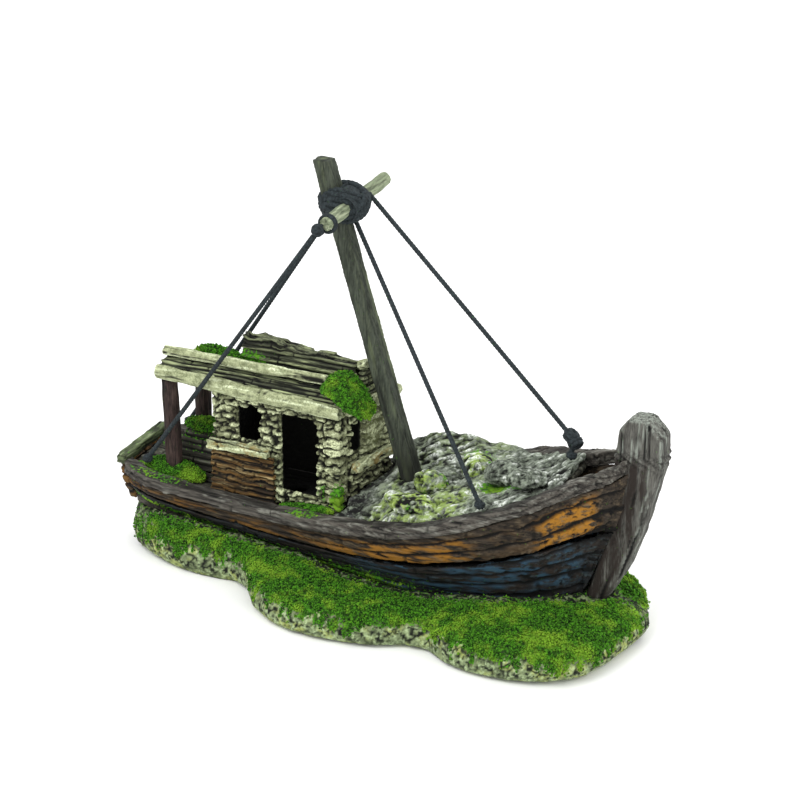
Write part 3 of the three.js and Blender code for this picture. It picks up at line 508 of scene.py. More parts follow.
@dataclass(frozen=True)
class Finish:
    """Painted resin: two tones, a second and third paint by mask, wash, dry brushing and moss; the wash and
    the third paint also carry painted shade on some pieces.
    """

    name: str
    dark: str
    light: str
    second: str = "808080"
    third: str = "808080"
    wash: str = "0b0b0a"
    brush: str = "c9cfae"
    tone_size: float = 4.0        # mm
    grit_size: float = 0.9        # mm
    grain: Grain = Grain.EVEN
    turn: float = 0.0             # turn of the fibres about y, radians
    roughness: float = 0.85
    bump: float = 0.25            # mm
    brushing: float = 1.0
    flake_size: float = 2.5       # mm
    flake_shade: float = 0.35     # darkest tone of a flaking paint, share of its own colour

    def build(self, effects: Effects) -> bpy.types.Material:
        """Builds the material.

        Args:
            effects: the shared node groups.

        Returns:
            The finished material.
        """
        material = bpy.data.materials.new(self.name)
        material.use_nodes = True
        nodes = Nodes(material.node_tree)
        place = nodes.add("TexCoord").outputs["Object"]
        sizes = self.grain.size(1.0, 9.0)
        fibres = nodes.add("Mapping", {"Vector": place, "Rotation": (0.0, self.turn, 0.0),
                                       "Scale": tuple(1 / size for size in sizes)}).outputs[0]
        mottle = nodes.shared(effects.mottle, {
            "Vector": fibres, "Scale": 1000 / self.tone_size,
            "Dark": opaque(paint(self.dark)), "Light": opaque(paint(self.light))})
        colour = mottle.outputs["Color"]
        flaking = nodes.spread(nodes.noise(fibres, 1000 / self.flake_size, 6.0), 0.39, 0.53)
        # On the rock and the rubble heap the third mask is painted shade.
        for mask, code in (("second", self.second), ("third", self.third)):
            share = nodes.math("MULTIPLY", nodes.attribute(mask), flaking)
            full = paint(code)
            shaded = tuple(channel * self.flake_shade for channel in full)
            tone = nodes.mix(mottle.outputs["Height"], shaded, full)
            colour = nodes.mix(share, colour, tone)
        high = nodes.math("MULTIPLY", nodes.attribute("edge"), self.brushing)
        # The seam mask drives the dark wash: real joints and hollows, and painted shade where a piece marks
        # it.
        wear = nodes.shared(effects.wear, {
            "Color": colour, "Vector": fibres, "Hollow": nodes.attribute("seam"), "High": high,
            "Wash": opaque(paint(self.wash)), "Brush": opaque(paint(self.brush)),
            "Scale": 1000 / self.grit_size})
        cover = nodes.shared(effects.cover, {
            "Color": wear.outputs["Color"], "Vector": place, "Cover": nodes.attribute("moss")})
        bump = nodes.add("Bump", {"Strength": 0.7, "Distance": self.bump * MM,
                                  "Height": nodes.noise(fibres, 1000 / self.grit_size, 7.0)})
        shader = nodes.add("BsdfPrincipled", {
            "Base Color": cover.outputs["Color"], "Roughness": self.roughness, "Normal": bump.outputs[0]})
        shader.inputs["Specular IOR Level"].default_value = 0.25
        out = nodes.add("OutputMaterial", {"Surface": shader.outputs[0]})
        out.is_active_output = True
        return material


# ---- Shared carving ----
@dataclass(frozen=True)
class Profile:
    """A line read off a body of the frame: its lowest or highest height at each place along the boat."""

    node: str
    highest: bool = False

    def at(self, x: Array) -> Array:
        """Heights in mm at x in mm."""
        corners = mesh_points(bpy.data.objects[self.node].data)
        places = np.unique(np.round(corners[:, 0], 0))
        pick = np.max if self.highest else np.min
        heights = [pick(corners[np.round(corners[:, 0], 0) == place, 2]) for place in places]
        return np.interp(x, places, heights)


def weather_wood(piece: Workpiece, grain: Grain, seed: int, crack: float = 0.4, relief: float = 0.2,
                 where: Array | None = None) -> None:
    """Carves raised fibres and open cracks into a wooden piece.

    Args:
        piece: the piece to carve.
        grain: the way of its fibres.
        seed: number that sets its own pattern.
        crack: depth of the cracks, mm.
        relief: height of the fibres, mm.
        where: positions to read the pattern at, when not its own.
    """
    spot = piece.points if where is None else where
    fibres = Noise(grain.size(0.8, 11.0), seed).read(spot)
    splits = step(Noise(grain.size(1.3, 19.0), seed + 1, 2).read(spot), 0.3, 0.52)
    lumps = Noise(5.0, seed + 2, 2).read(spot)
    piece.mask("seam", splits)
    piece.mask("edge", step(fibres, 0.02, 0.4))
    piece.carve(relief * fibres + 0.25 * lumps - crack * splits)


def pit(piece: Workpiece, size: float, depth: float, seed: int, share: float = 0.5) -> None:
    """Sinks scattered dark pits into a piece.

    Args:
        piece: the piece to carve.
        size: distance between pits, mm.
        depth: depth of a pit, mm.
        seed: number that sets its own pattern.
        share: how much of the surface has pits, 0 to 1.
    """
    nearest, _ = Cells(size, seed).read(piece.points)
    pitted = step(Noise(size * 2.5, seed + 3, 2).read(piece.points), 0.5 - share, 0.9 - share)
    hole = (1 - step(nearest, 0.18, 0.42)) * pitted
    piece.mask("seam", hole)
    piece.carve(-depth * hole)


def lay_stones(piece: Workpiece, along: Array, width: float, height: float, seed: int, where: Array) -> None:
    """Cuts a surface into rough stones in uneven courses.

    Args:
        piece: the piece to carve.
        along: position along the wall, mm.
        width: length of a stone, mm.
        height: height of a course, mm.
        seed: number that sets its own pattern.
        where: share of the effect at each point.
    """
    wobble = Noise(4.0, seed, 3).read(piece.points)
    course = (piece.points[:, 2] + 2.4 * wobble) / height
    row = np.floor(course).astype(np.int64)
    luck = Noise(1, seed + 4)
    slide = luck.corner(np.stack([row, row, row], axis=1))
    place = (along + 2.6 * wobble) / width + slide * 3.7
    column = np.floor(place).astype(np.int64)
    edge = np.minimum(np.minimum(course - row, 1 - course + row) * height,
                      np.minimum(place - column, 1 - place + column) * width)
    joint = (1 - step(edge + 0.35 * Noise(2.2, seed + 9, 2).read(piece.points), 0.12, 0.75)) * where
    stone = luck.corner(np.stack([row, column, row * 0], axis=1))
    rough = Noise((2.4, 2.4, 0.9), seed + 7).read(piece.points)
    piece.mask("seam", joint * 1.1)
    piece.mask("seam", where * step(-rough, 0.22, 0.45))
    piece.mask("edge", step(rough + 0.4 * stone, -0.2, 0.35) * (1 - joint))
    piece.carve(where * (0.5 * stone + 0.35) + 0.4 * rough - 1.1 * joint)


@dataclass(frozen=True)
class Tufts:
    """Loose crumbs of flocked moss stuck on a surface: how many and how large, mm."""

    count: int
    smallest: float = 0.28
    largest: float = 0.62
    seed: int = 5
    lift: float = 0.22

    def scatter(self, piece: Workpiece, share: Array, material: bpy.types.Material) -> None:
        """Sticks crumbs on a piece where share is high.

        Args:
            piece: the piece that carries the moss.
            share: chance of moss at each of its points.
            material: the moss finish.
        """
        chance = np.random.default_rng(self.seed)
        weight = np.clip(share, 0, 1) ** 2
        if weight.sum() < 1:
            return
        spots = chance.choice(len(weight), self.count, p=weight / weight.sum())
        tips = np.array([(1, 0, 0), (-1, 0, 0), (0, 1, 0), (0, -1, 0), (0, 0, 1), (0, 0, -1)], float)
        sides = np.array([(0, 2, 4), (2, 1, 4), (1, 3, 4), (3, 0, 4),
                          (2, 0, 5), (1, 2, 5), (3, 1, 5), (0, 3, 5)])
        turns = np.linalg.qr(chance.normal(size=(self.count, 3, 3)))[0]
        turns[:, :, 0] *= np.sign(np.linalg.det(turns))[:, None]
        reach = chance.uniform(self.smallest, self.largest, (self.count, 1, 3))
        centre = (piece.points[spots] + piece.normals[spots] * self.lift
                  + chance.normal(0, self.smallest, (self.count, 3)))
        corners = np.einsum("nij,nkj->nki", turns, tips[None] * reach) + centre[:, None, :]
        faces = (sides[None] + 6 * np.arange(self.count)[:, None, None]).reshape(-1, 3)
        mesh = bpy.data.meshes.new(piece.name + "_tufts")
        mesh.from_pydata(to_frame(corners.reshape(-1, 3)).tolist(), [], faces.tolist())
        write_mask(mesh, "moss", np.ones(len(mesh.vertices)))
        settle(new_object(piece.name + "_tufts", mesh), material)


@dataclass(frozen=True)
class Rope:
    """Twisted cord: its diameter and the length of one turn of its strands, mm."""

    diameter: float = 1.8
    lay: float = 4.2
    strands: int = 3
    sides: int = 15
    ring_gap: float = 0.42        # mm from one ring of corners to the next
    groove: float = 0.8           # radius in the grooves, share of the full radius
    swell: float = 0.24           # rise from groove to strand, share of the full radius

    def rings(self, route: Array, closed: bool = False) -> tuple[Array, list]:
        """Sweeps the cord along a route.

        Args:
            route: points in mm in the hull's own frame.
            closed: whether the route joins up with its start.

        Returns:
            Corner points in mm, and faces.
        """
        line = np.vstack([route, route[:1]]) if closed else route
        gaps = np.linalg.norm(np.diff(line, axis=0), axis=1)
        run = np.concatenate([[0], np.cumsum(gaps)])
        count = max(8, int(run[-1] / self.ring_gap))
        at = np.linspace(0, run[-1], count, endpoint=not closed)
        path = np.stack([np.interp(at, run, line[:, k]) for k in range(3)], axis=1)
        ahead = np.roll(path, -1, axis=0) - np.roll(path, 1, axis=0)
        if not closed:
            ahead[0], ahead[-1] = path[1] - path[0], path[-1] - path[-2]
        ahead /= np.linalg.norm(ahead, axis=1)[:, None]
        middle = path.mean(axis=0)
        guide = np.linalg.svd(path - middle)[2][2] if closed else np.array([0.31, 0.92, 0.24])
        side = np.cross(ahead, guide)
        side /= np.linalg.norm(side, axis=1)[:, None]
        up = np.cross(side, ahead)
        turns = round(run[-1] / self.lay) / run[-1] if closed else 1 / self.lay
        angle = np.linspace(0, 2 * math.pi, self.sides, endpoint=False)[None, :]
        phase = 2 * math.pi * at[:, None] * turns
        twist = np.abs(np.cos(self.strands / 2 * (angle - phase)))
        radius = self.diameter / 2 * (self.groove + self.swell * twist)
        corners = (path[:, None, :] + (radius * np.cos(angle))[..., None] * side[:, None, :]
                   + (radius * np.sin(angle))[..., None] * up[:, None, :])
        faces = []
        for ring in range(count if closed else count - 1):
            first, second = ring * self.sides, (ring + 1) % count * self.sides
            faces += [(first + k, first + (k + 1) % self.sides, second + (k + 1) % self.sides, second + k)
                      for k in range(self.sides)]
        if not closed:
            faces.append(tuple(range(self.sides))[::-1])
            faces.append(tuple((count - 1) * self.sides + k for k in range(self.sides)))
        return corners.reshape(-1, 3), faces

    def build(self, name: str, routes: Sequence[Array], closed: bool = False) -> bpy.types.Object:
        """Makes one piece of cord from one or more routes."""
        corners, faces, start = [], [], 0
        for route in routes:
            ring_points, ring_faces = self.rings(route, closed)
            corners.append(ring_points)
            faces += [tuple(start + k for k in face) for face in ring_faces]
            start += len(ring_points)
        mesh = bpy.data.meshes.new(name)
        mesh.from_pydata(to_frame(np.vstack(corners)).tolist(), [], faces)
        solid = bmesh.new()
        solid.from_mesh(mesh)
        bmesh.ops.recalc_face_normals(solid, faces=solid.faces)
        solid.to_mesh(mesh)
        solid.free()
        return new_object(name, mesh)


def wrap(centre: Sequence[float], radii: Sequence[float], pole: Sequence[float], offset: float,
         steps: int = 40) -> Array:
    """One round turn of cord lying on an egg-shaped lump.

    Args:
        centre: middle of the lump, mm.
        radii: the lump's half sizes, mm.
        pole: direction that the turn goes round.
        offset: share of the way from the lump's waist to its pole.
        steps: points in the turn.

    Returns:
        The turn's points, mm.
    """
    axis = np.array(pole, float) / np.linalg.norm(pole)
    first = np.cross(axis, (0.3, 0.5, 0.81))
    first /= np.linalg.norm(first)
    second = np.cross(axis, first)
    angle = np.linspace(0, 2 * math.pi, steps, endpoint=False)[:, None]
    unit = math.sqrt(1 - offset ** 2) * (np.cos(angle) * first + np.sin(angle) * second) + offset * axis
    return np.array(centre) + unit * np.array(radii)


def wind(centre: Sequence[float], radii: Sequence[float], poles: Sequence[Sequence[float]],
         offsets: Sequence[float]) -> list[Array]:
    """Round turns on one lump, several about each pole.

    Args:
        centre: middle of the lump, mm.
        radii: the lump's half sizes, mm.
        poles: directions that the turns go round.
        offsets: where the turns about each pole lie, as for wrap.

    Returns:
        The turns, each a run of points in mm.
    """
    return [wrap(centre, radii, pole, offset) for pole in poles for offset in offsets]


# ---- Base ----
@dataclass
class RockBase:
    """The lobed rock under the hull, speckled at its rim and mossy on top."""

    voxel: float = 0.85
    lump: float = 0.9
    tufts: Tufts = Tufts(24000, 0.3, 0.75, 11)

    def build(self, finishes: Finishes) -> None:
        """Carves the rock and grows its moss."""
        rock = Workpiece("rock", ["rock_base"], self.voxel)
        points = rock.points
        clear = step(points[:, 2], 0.2, 2.5)
        top = step(rock.normals[:, 2] + 0.35 * Noise((7, 7, 5), 3).read(points), 0.3, 0.75)
        soft = Noise(3.2, 8).read(points)
        mossy = top * step(points[:, 2], 4, 9)
        broad = Noise((16, 16, 12), 5, 2).read(points)
        crust = Noise((1.5, 1.5, 1.8), 7).read(points)
        rock.carve(clear * (self.lump * broad + 0.45 * crust + mossy * (0.9 * soft + 0.5)))
        hang = step(Noise((1.9, 1.9, 7.0), 21, 3).read(points) + 0.09 * (points[:, 2] - 8.5), -0.12, 0.3)
        moss = np.maximum(mossy, 0.75 * hang * step(points[:, 2], 2.0, 5))
        rock.mask("moss", moss)
        rock.mask("edge", step(crust, -0.15, 0.25) * (1 - mossy))
        speck = step(Noise((1.15, 1.15, 1.1), 9).read(points), -0.02, 0.2)
        rim = step(points[:, 2], 1.5, 4.0)
        rock.mask("seam", speck * (1 - mossy) * (0.4 + 0.6 * rim))
        rock.mask("second", step(Noise((6, 6, 4), 13).read(points), -0.2, 0.3) * (1 - mossy))
        # Painted shade where the rock sits on the floor: its lowest 0.8 mm is darkened through the seam mask.
        rock.mask("seam", (1 - step(points[:, 2], 0.1, 0.8)) * 0.8)
        # Painted shadow under the hull: there the rock takes its near-black third colour, and its moss and
        # crumbs are thinned.
        damp = self.damp(points)
        rock.hide("moss", 0.75 * damp)
        rock.mask("third", 1.3 * damp)
        rock.finish(finishes["rock"], "rock")
        self.tufts.scatter(rock, moss * (1 - 0.85 * damp), finishes["moss"])

    @staticmethod
    def damp(points: Array) -> Array:
        """Painted shadow: the dark strip on the rock close under the planking, 0 to 1."""
        stations = [-100, -84, 0, 42, 70, 94, 104]
        half_widths = [13, 19, 24, 28, 24, 13, 2]
        hull = np.interp(points[:, 0], stations, half_widths)
        return 1 - step(np.abs(points[:, 1]), hull - 1, hull + 6)


# ---- Hull ----
class Band(Enum):
    """The two painted bands of the planking."""

    UPPER = "upper"
    LOWER = "lower"


@dataclass
class Hull:
    """Planking, rails, transom and stem of the wreck."""

    voxel: float = 0.6
    upper_board: float = 4.4
    lower_board: float = 4.2
    depth: float = 30.0           # scale of the boards from keel to rail, mm
    seam_depth: float = 0.75
    neck_height: float = 73.0     # middle of the twisted strands round the stem, mm
    neck_half: float = 4.5
    strand_width: float = 2.7
    lichen: tuple[Patch, ...] = (Patch((92, -12, 44), (9, 16, 3.4)), Patch((86, -16, 42), (7, 16, 2.4)))
    rail_moss: tuple[Patch, ...] = (Patch((-79, -20, 36), (20, 5, 6), 0.45),
                                    Patch((-15, -24, 36), (13, 5, 6), 0.6))

    def build(self, finishes: Finishes) -> None:
        """Builds the hull's pieces."""
        for side in ("starboard", "port"):
            self.planking(side, finishes)
            self.rail(f"{side}_gunwale", finishes)
        self.stern(finishes)
        self.stem(finishes)

    def planking(self, side: str, finishes: Finishes) -> None:
        """Carves the seams of one side and paints its bands."""
        rail = Profile(f"{side}_gunwale")
        keel = Profile("keel_board", True)
        for band, width, slot, board_seed, fibre_seed in (
                (Band.UPPER, self.upper_board, "ochre_planks", 5, 31),
                (Band.LOWER, self.lower_board, "blue_planks", 9, 35)):
            node = f"{side}_{band.value}_strake"
            strake = Workpiece(f"{node}_boards", [node], self.voxel)
            self.close_bow(strake, 7.0)
            points = strake.points
            low, high = keel.at(points[:, 0]), rail.at(points[:, 0])
            share = (points[:, 2] - low) / np.maximum(high - low, 4)
            seam, luck = Boards(width, 46, 0.55, board_seed, 1.6, 0.6).read(
                share * self.depth, points[:, 0] * 0.6, points)
            worn = Noise((13, 4, 4), 14, 3).read(points)
            strake.mask("seam", seam)
            self.colour(strake, band, points, share, worn, luck)
            strake.carve(-self.seam_depth * seam + 0.5 * (luck - 0.5))
            weather_wood(strake, Grain.LENGTHWISE, fibre_seed, 0.45, 0.16)
            strake.finish(finishes[band.value], slot)

    @staticmethod
    def close_bow(piece: Workpiece, reach: float) -> None:
        """Draws a plank's forward end over the side of the stem, by reach in mm."""
        points = piece.points
        end = step(points[:, 0], 84, 100)
        high = 0.35 + 0.65 * step(points[:, 2], 20, 55)
        points[:, 0] += reach * high * end * end
        stem_half = 6.3 - 2.0 * step(points[:, 0], 104, 110)
        side = np.sign(points[:, 1] + 1e-6)
        on_stem = (np.abs(points[:, 1]) > 2.2) & (points[:, 0] > 93)
        spread = side * np.maximum(np.abs(points[:, 1]), stem_half)
        points[:, 1] = np.where(on_stem, spread, points[:, 1])
        piece.keep()

    def colour(self, strake: Workpiece, band: Band, points: Array, share: Array, worn: Array,
               luck: Array) -> None:
        """Lays the flaking paint of a band on its boards."""
        x = points[:, 0]
        bare = step(x, 50, 62) * (1 - step(x, 78, 86))
        if band is Band.UPPER:
            ahead = step(x, -20, 20)
            kept = step(worn + 0.3 * luck + 0.25 * ahead, -0.1, 0.2) * (1 - 0.92 * bare)
            kept = kept * (1 - step(x, 97, 102))
            inside = step(share, 0.56, 0.6) * (1 - step(share, 0.86, 0.95))
            strake.mask("second", kept * inside * (0.4 + 0.35 * step(x, -8, 3) + 0.4 * step(x, 76, 88)))
            strake.hide("edge", 0.3)
        else:
            # The blue fades out aft of amidships, where the band lies in shade: partly worn paint, partly
            # painted shade.
            kept = step(worn, -0.35, 0.15) * (0.12 + 0.88 * step(x, 0, 26)) * (1 - step(x, 90, 98))
            strake.mask("third", kept * (1 - 0.9 * (1 - step(share, 0.08, 0.3)) * step(x, 74, 90)))
            strake.mask("second", step(patched(points, self.lichen) + 0.5 * worn, 0.45, 0.6))
            strake.mask("moss", 0.65 * (1 - step(share, 0.05, 0.45)) * (1 - step(x, 10, 60)))

    def rail(self, node: str, finishes: Finishes) -> None:
        """Weathers a rail or gunwale into cracked driftwood."""
        rail = Workpiece(f"{node}_timber", [node], self.voxel)
        self.close_bow(rail, 6.0)
        points = rail.points
        height = points[:, 2] - Profile(node).at(points[:, 0])
        seam, _ = Boards(2.6, 70, 0.3, 17).read(height, points[:, 0], points)
        rail.mask("seam", 0.7 * seam)
        rail.carve(0.7 * Noise((9, 5, 5), 41, 2).read(points) - 0.35 * seam + 0.3)
        weather_wood(rail, Grain.LENGTHWISE, 43, 0.55, 0.25)
        top = step(rail.normals[:, 2], 0.4, 0.8)
        rail.mask("moss", patched(points, self.rail_moss) * top)
        pale = step(points[:, 0], 20, 50) * step(Noise((7, 3, 3), 47).read(points), 0.05, 0.35) * top
        rail.mask("edge", pale)
        rail.finish(finishes["timber"], "weathered_wood")

    def stern(self, finishes: Finishes) -> None:
        """Boards of the transom and its rail."""
        board = Workpiece("transom_boards", ["transom"], self.voxel)
        seam, luck = Boards(4.2, 25, 0.5, 19).read(board.points[:, 2], board.points[:, 1], board.points)
        board.mask("seam", seam)
        board.mask("second", 0.4 * step(Noise((6, 6, 3), 23).read(board.points) + 0.3 * luck, 0.0, 0.3))
        board.carve(-self.seam_depth * seam)
        weather_wood(board, Grain.ACROSS, 51, 0.4, 0.16)
        board.finish(finishes["upper"], "ochre_planks")
        rail = Workpiece("stern_rail_timber", ["stern_rail"], 0.5)
        seam, _ = Boards(2.0, 40, 0.3, 21).read(rail.points[:, 2], rail.points[:, 1], rail.points)
        rail.mask("seam", 0.7 * seam)
        rail.carve(-0.3 * seam)
        weather_wood(rail, Grain.ACROSS, 53, 0.5, 0.22)
        rail.mask("moss", 0.12 * step(rail.normals[:, 2], 0.5, 0.9))
        rail.finish(finishes["stern"], "weathered_wood")

    def stem(self, finishes: Finishes) -> None:
        """The stem timber: upright fibres, a pale block head and twisted strands below it."""
        stem = Workpiece("stem_timber", ["stem_post"], self.voxel, 26)
        points = stem.points
        neck = np.clip(1 - np.abs(points[:, 2] - self.neck_height) / self.neck_half, 0, 1)
        slant = points[:, 2] + 0.55 * (points[:, 0] - 100) + 0.3 * points[:, 1]
        strands = np.sin(2 * math.pi * slant / self.strand_width)
        stem.carve(0.8 * Noise((7, 7, 10), 61, 2).read(points) + neck * (0.55 * strands + 0.3))
        stem.mask("seam", neck * step(-strands, 0.35, 0.9) * 0.8)
        lean = points.copy()
        heights, middles = [11, 28, 45, 62, 90], [97, 103, 108, 112, 112]
        lean[:, 0] -= np.interp(points[:, 2], heights, middles)
        weather_wood(stem, Grain.UPRIGHT, 63, 0.5, 0.28, lean)
        stem.mask("edge", step(points[:, 2], 83, 87) * step(stem.normals[:, 2], 0.3, 0.8))
        beside = (1 - step(lean[:, 0], 1.5, 6)) * (1 - step(points[:, 2], 70, 76))
        stem.mask("second", beside)
        stem.hide("edge", 0.9 * beside)
        stem.finish(finishes["stem"], "weathered_wood")


# ---- Decks ----
@dataclass
class Decks:
    """Deck boards, hatch, the heap in the bow and its boulders."""

    voxel: float = 0.8
    deck_moss: tuple[Patch, ...] = (
        Patch((-82, -12, 35), (20, 9, 9)), Patch((-84, 12, 36), (16, 9, 9)),
        Patch((-14, -20, 35), (17, 6, 9)), Patch((-40, 20, 36), (30, 5, 9)))
    heap_moss: tuple[Patch, ...] = (Patch((60, -7, 56), (15, 8, 12)), Patch((42, 12, 56), (11, 9, 12), 0.7))
    heap_rise: Patch = Patch((5, 17, 44), (11, 9, 14), 5.5)    # strength in mm: fills up to the cabin front
    # A patch of the heap left out of the painted shade by the cabin.
    clear_of_soot: Patch = Patch((4, 3, 50), (8, 7, 9))

    def build(self, finishes: Finishes) -> None:
        """Builds everything that lies inside the rails."""
        self.deck(finishes)
        self.hatch(finishes)
        self.heap(finishes)
        for number in range(1, 6):
            self.boulder(number, finishes)

    def deck(self, finishes: Finishes) -> None:
        """Lays the deck boards, painted black inside the cabin as shade, and mossy aft."""
        deck = Workpiece("deck_boards", ["main_deck"], self.voxel)
        points = deck.points
        seam, luck = Boards(3.6, 40, 0.5, 25).read(points[:, 1], points[:, 0], points)
        deck.mask("seam", seam)
        deck.carve(-0.5 * seam * step(deck.normals[:, 2], 0.3, 0.8) + 0.3 * (luck - 0.5))
        weather_wood(deck, Grain.LENGTHWISE, 71, 0.3, 0.15)
        # Painted shade: inside the cabin the deck is made black through the seam mask.
        inside = ((np.abs(points[:, 1]) < PLAN.side - 2) & (points[:, 0] > PLAN.aft)
                  & (points[:, 0] < PLAN.front_line(points[:, 1])))
        deck.mask("seam", inside.astype(float))
        deck.mask("moss", patched(points, self.deck_moss) * step(deck.normals[:, 2], 0.3, 0.8))
        deck.finish(finishes["deck"], "deck")

    def hatch(self, finishes: Finishes) -> None:
        """The humped hatch under the porch, of grey boards."""
        hatch = Workpiece("hatch_boards", ["aft_hatch"], 0.6)
        points = hatch.points
        seam, luck = Boards(3.0, 30, 0.5, 27).read(points[:, 2] + 0.4 * points[:, 1], points[:, 0], points)
        hatch.mask("seam", seam)
        hatch.carve(-0.6 * seam + 0.4 * (luck - 0.5))
        weather_wood(hatch, Grain.LENGTHWISE, 75, 0.4, 0.2)
        hatch.mask("moss", 0.4 * step(hatch.normals[:, 2], 0.5, 0.9))
        hatch.finish(finishes["deck"], "deck")

    def heap(self, finishes: Finishes) -> None:
        """The rubble heap: painted shade by the cabin, lime mounds amidships, pale ridges forward."""
        heap = Workpiece("rubble_heap", ["fore_heap"], 0.75)
        points = heap.points
        points[:, 2] += self.heap_rise.over(points) * step(heap.normals[:, 2], 0.1, 0.5)
        self.break_up(heap, 81)
        x, y = points[:, 0], points[:, 1]
        # Painted shade: next to the cabin front the heap takes the rubble's near-black third colour and loses
        # its dry brushing.
        cabin_shade = 1 - step(x + 4 * Noise(8, 83).read(points), 6, 15)
        heap.mask("third", cabin_shade * (1 - self.clear_of_soot.over(points)))
        heap.hide("edge", 0.9 * cabin_shade)
        tone = Noise(9, 85).read(points)
        lime = (step(x, 8, 18) * (1 - step(x, 46, 56))) * step(tone, -0.3, 0.2)
        heap.mask("second", 0.7 * lime * (0.35 + 0.65 * step(-y, -4, 16)))
        heap.mask("moss", patched(points, self.heap_moss) * (0.75 + 0.5 * tone))
        heap.mask("third", 0.55 * step(x, 68, 80) * step(-tone, -0.1, 0.3))
        heap.finish(finishes["rubble"], "rubble")

    def boulder(self, number: int, finishes: Finishes) -> None:
        """One boulder of the heap: the after ones lime, the forward ones pale."""
        stone = Workpiece(f"boulder_{number}_stone", [f"boulder_{number}"], 0.5)
        self.break_up(stone, 90 + 3 * number)
        if number <= 3:
            stone.mask("second", 0.9 * step(Noise(4, 95 + number).read(stone.points), -0.4, 0.1))
        stone.mask("moss", 0.5 * step(Noise(5, 99 + number).read(stone.points), 0.1, 0.5) * (number != 5))
        stone.finish(finishes["rubble"], "rubble")

    @staticmethod
    def break_up(piece: Workpiece, seed: int) -> None:
        """Carves a rocky skin: lumps, slanting ridges and black holes."""
        points = piece.points
        lumps = Noise((6, 6, 5), seed, 2).read(points)
        turned = points @ np.array([[0.8, -0.6, 0], [0.6, 0.8, 0], [0, 0, 1.0]])
        ridges = Noise((5.5, 1.9, 1.9), seed + 1).read(turned)
        ridges = ridges * (0.35 + 0.65 * step(Noise(11, seed + 5, 1).read(points), -0.2, 0.4))
        grit = Noise(1.2, seed + 2).read(points)
        piece.mask("seam", step(-ridges - 0.5 * grit, 0.04, 0.26))
        piece.mask("edge", step(ridges + 0.4 * grit, 0.05, 0.4))
        piece.carve(1.6 * lumps + 1.1 * ridges + 0.35 * grit)
        pit(piece, 4.0, 1.7, seed + 3, 0.62)


# ---- Cabin ----
@dataclass
class Cabin:
    """Stone walls, corner column, cladding and sills."""

    voxel: float = 0.5
    stone: float = 6.4
    course: float = 2.7
    front_panel: Patch = Patch((-1, 6, 60), (9, 9, 13))        # smooth dark part of the front wall
    wall_moss: Patch = Patch((-6, -15, 40), (8, 6, 8), 0.5)
    column_moss: Patch = Patch((-3, -15, 38), (6, 6, 9), 0.8)

    def build(self, finishes: Finishes) -> None:
        """Builds the four walls and what is fixed to them."""
        outer = {
            "cabin_starboard_wall": lambda p: -p[:, 1] - PLAN.side,
            "cabin_port_wall": lambda p: p[:, 1] - PLAN.side,
            "cabin_front_wall": lambda p: p[:, 0] - PLAN.front_line(p[:, 1]),
            "cabin_rear_wall": lambda p: PLAN.aft - p[:, 0],
        }
        for seed, (node, proud) in enumerate(outer.items()):
            wall = Workpiece(f"{node}_stones", [node], self.voxel)
            points = wall.points
            along = points[:, 0] if seed < 2 else points[:, 1]
            depth = proud(points)
            skin = step(depth, -2.2, -1.2)
            if node == "cabin_front_wall":
                panel = self.front_panel.over(points)
                lay_stones(wall, along, self.stone, self.course, 120, skin * (1 - panel))
                wall.mask("third", panel)
            else:
                lay_stones(wall, along, self.stone, self.course, 110 + seed, skin)
            # Painted shade: the wall's inner faces, deeper than its outer skin, are made black through the
            # seam mask.
            wall.mask("seam", 1 - step(depth, -2.3, -1.6))
            wall.mask("moss", self.wall_moss.over(points))
            wall.finish(finishes["stone"], "pale_stone")
        self.column(finishes)
        self.cladding(finishes)
        for node, grain in (("window_sill", Grain.LENGTHWISE), ("front_sill", Grain.ACROSS)):
            sill = Workpiece(f"{node}_timber", [node], 0.42)
            weather_wood(sill, grain, 131, 0.4, 0.25)
            sill.carve(0.9 * Noise((4.2, 4.2, 3), 137, 2).read(sill.points))
            pit(sill, 2.4, 0.6, 133, 0.6)
            sill.mask("second", 0.8 * step(Noise((4, 4, 2), 135).read(sill.points), -0.1, 0.3))
            sill.finish(finishes["beam"], "pale_beam")

    def column(self, finishes: Finishes) -> None:
        """The stacked stones at the cabin's forward starboard corner."""
        column = Workpiece("corner_stones", ["corner_column"], 0.42)
        lay_stones(column, column.points[:, 0] * 0 + 3.0, 30.0, 3.9, 141, np.ones(len(column.points)))
        pit(column, 2.6, 0.5, 143, 0.45)
        column.mask("moss", self.column_moss.over(column.points))
        column.finish(finishes["stone"], "pale_stone")

    def cladding(self, finishes: Finishes) -> None:
        """Rough split boards under the window."""
        boards = Workpiece("cladding_boards", ["lower_cladding"], 0.4)
        points = boards.points
        tilted = points[:, 2] + 0.06 * points[:, 0]
        seam, luck = Boards(2.3, 17, 0.42, 29, 2.6, 0.5).read(tilted, points[:, 0], points)
        boards.mask("seam", seam)
        boards.mask("third", 0.8 * (1 - step(points[:, 2], 37, 43)))
        boards.carve(-0.9 * seam + 1.1 * (luck - 0.4))
        weather_wood(boards, Grain.LENGTHWISE, 151, 0.4, 0.3)
        boards.finish(finishes["cladding"], "ochre_planks")


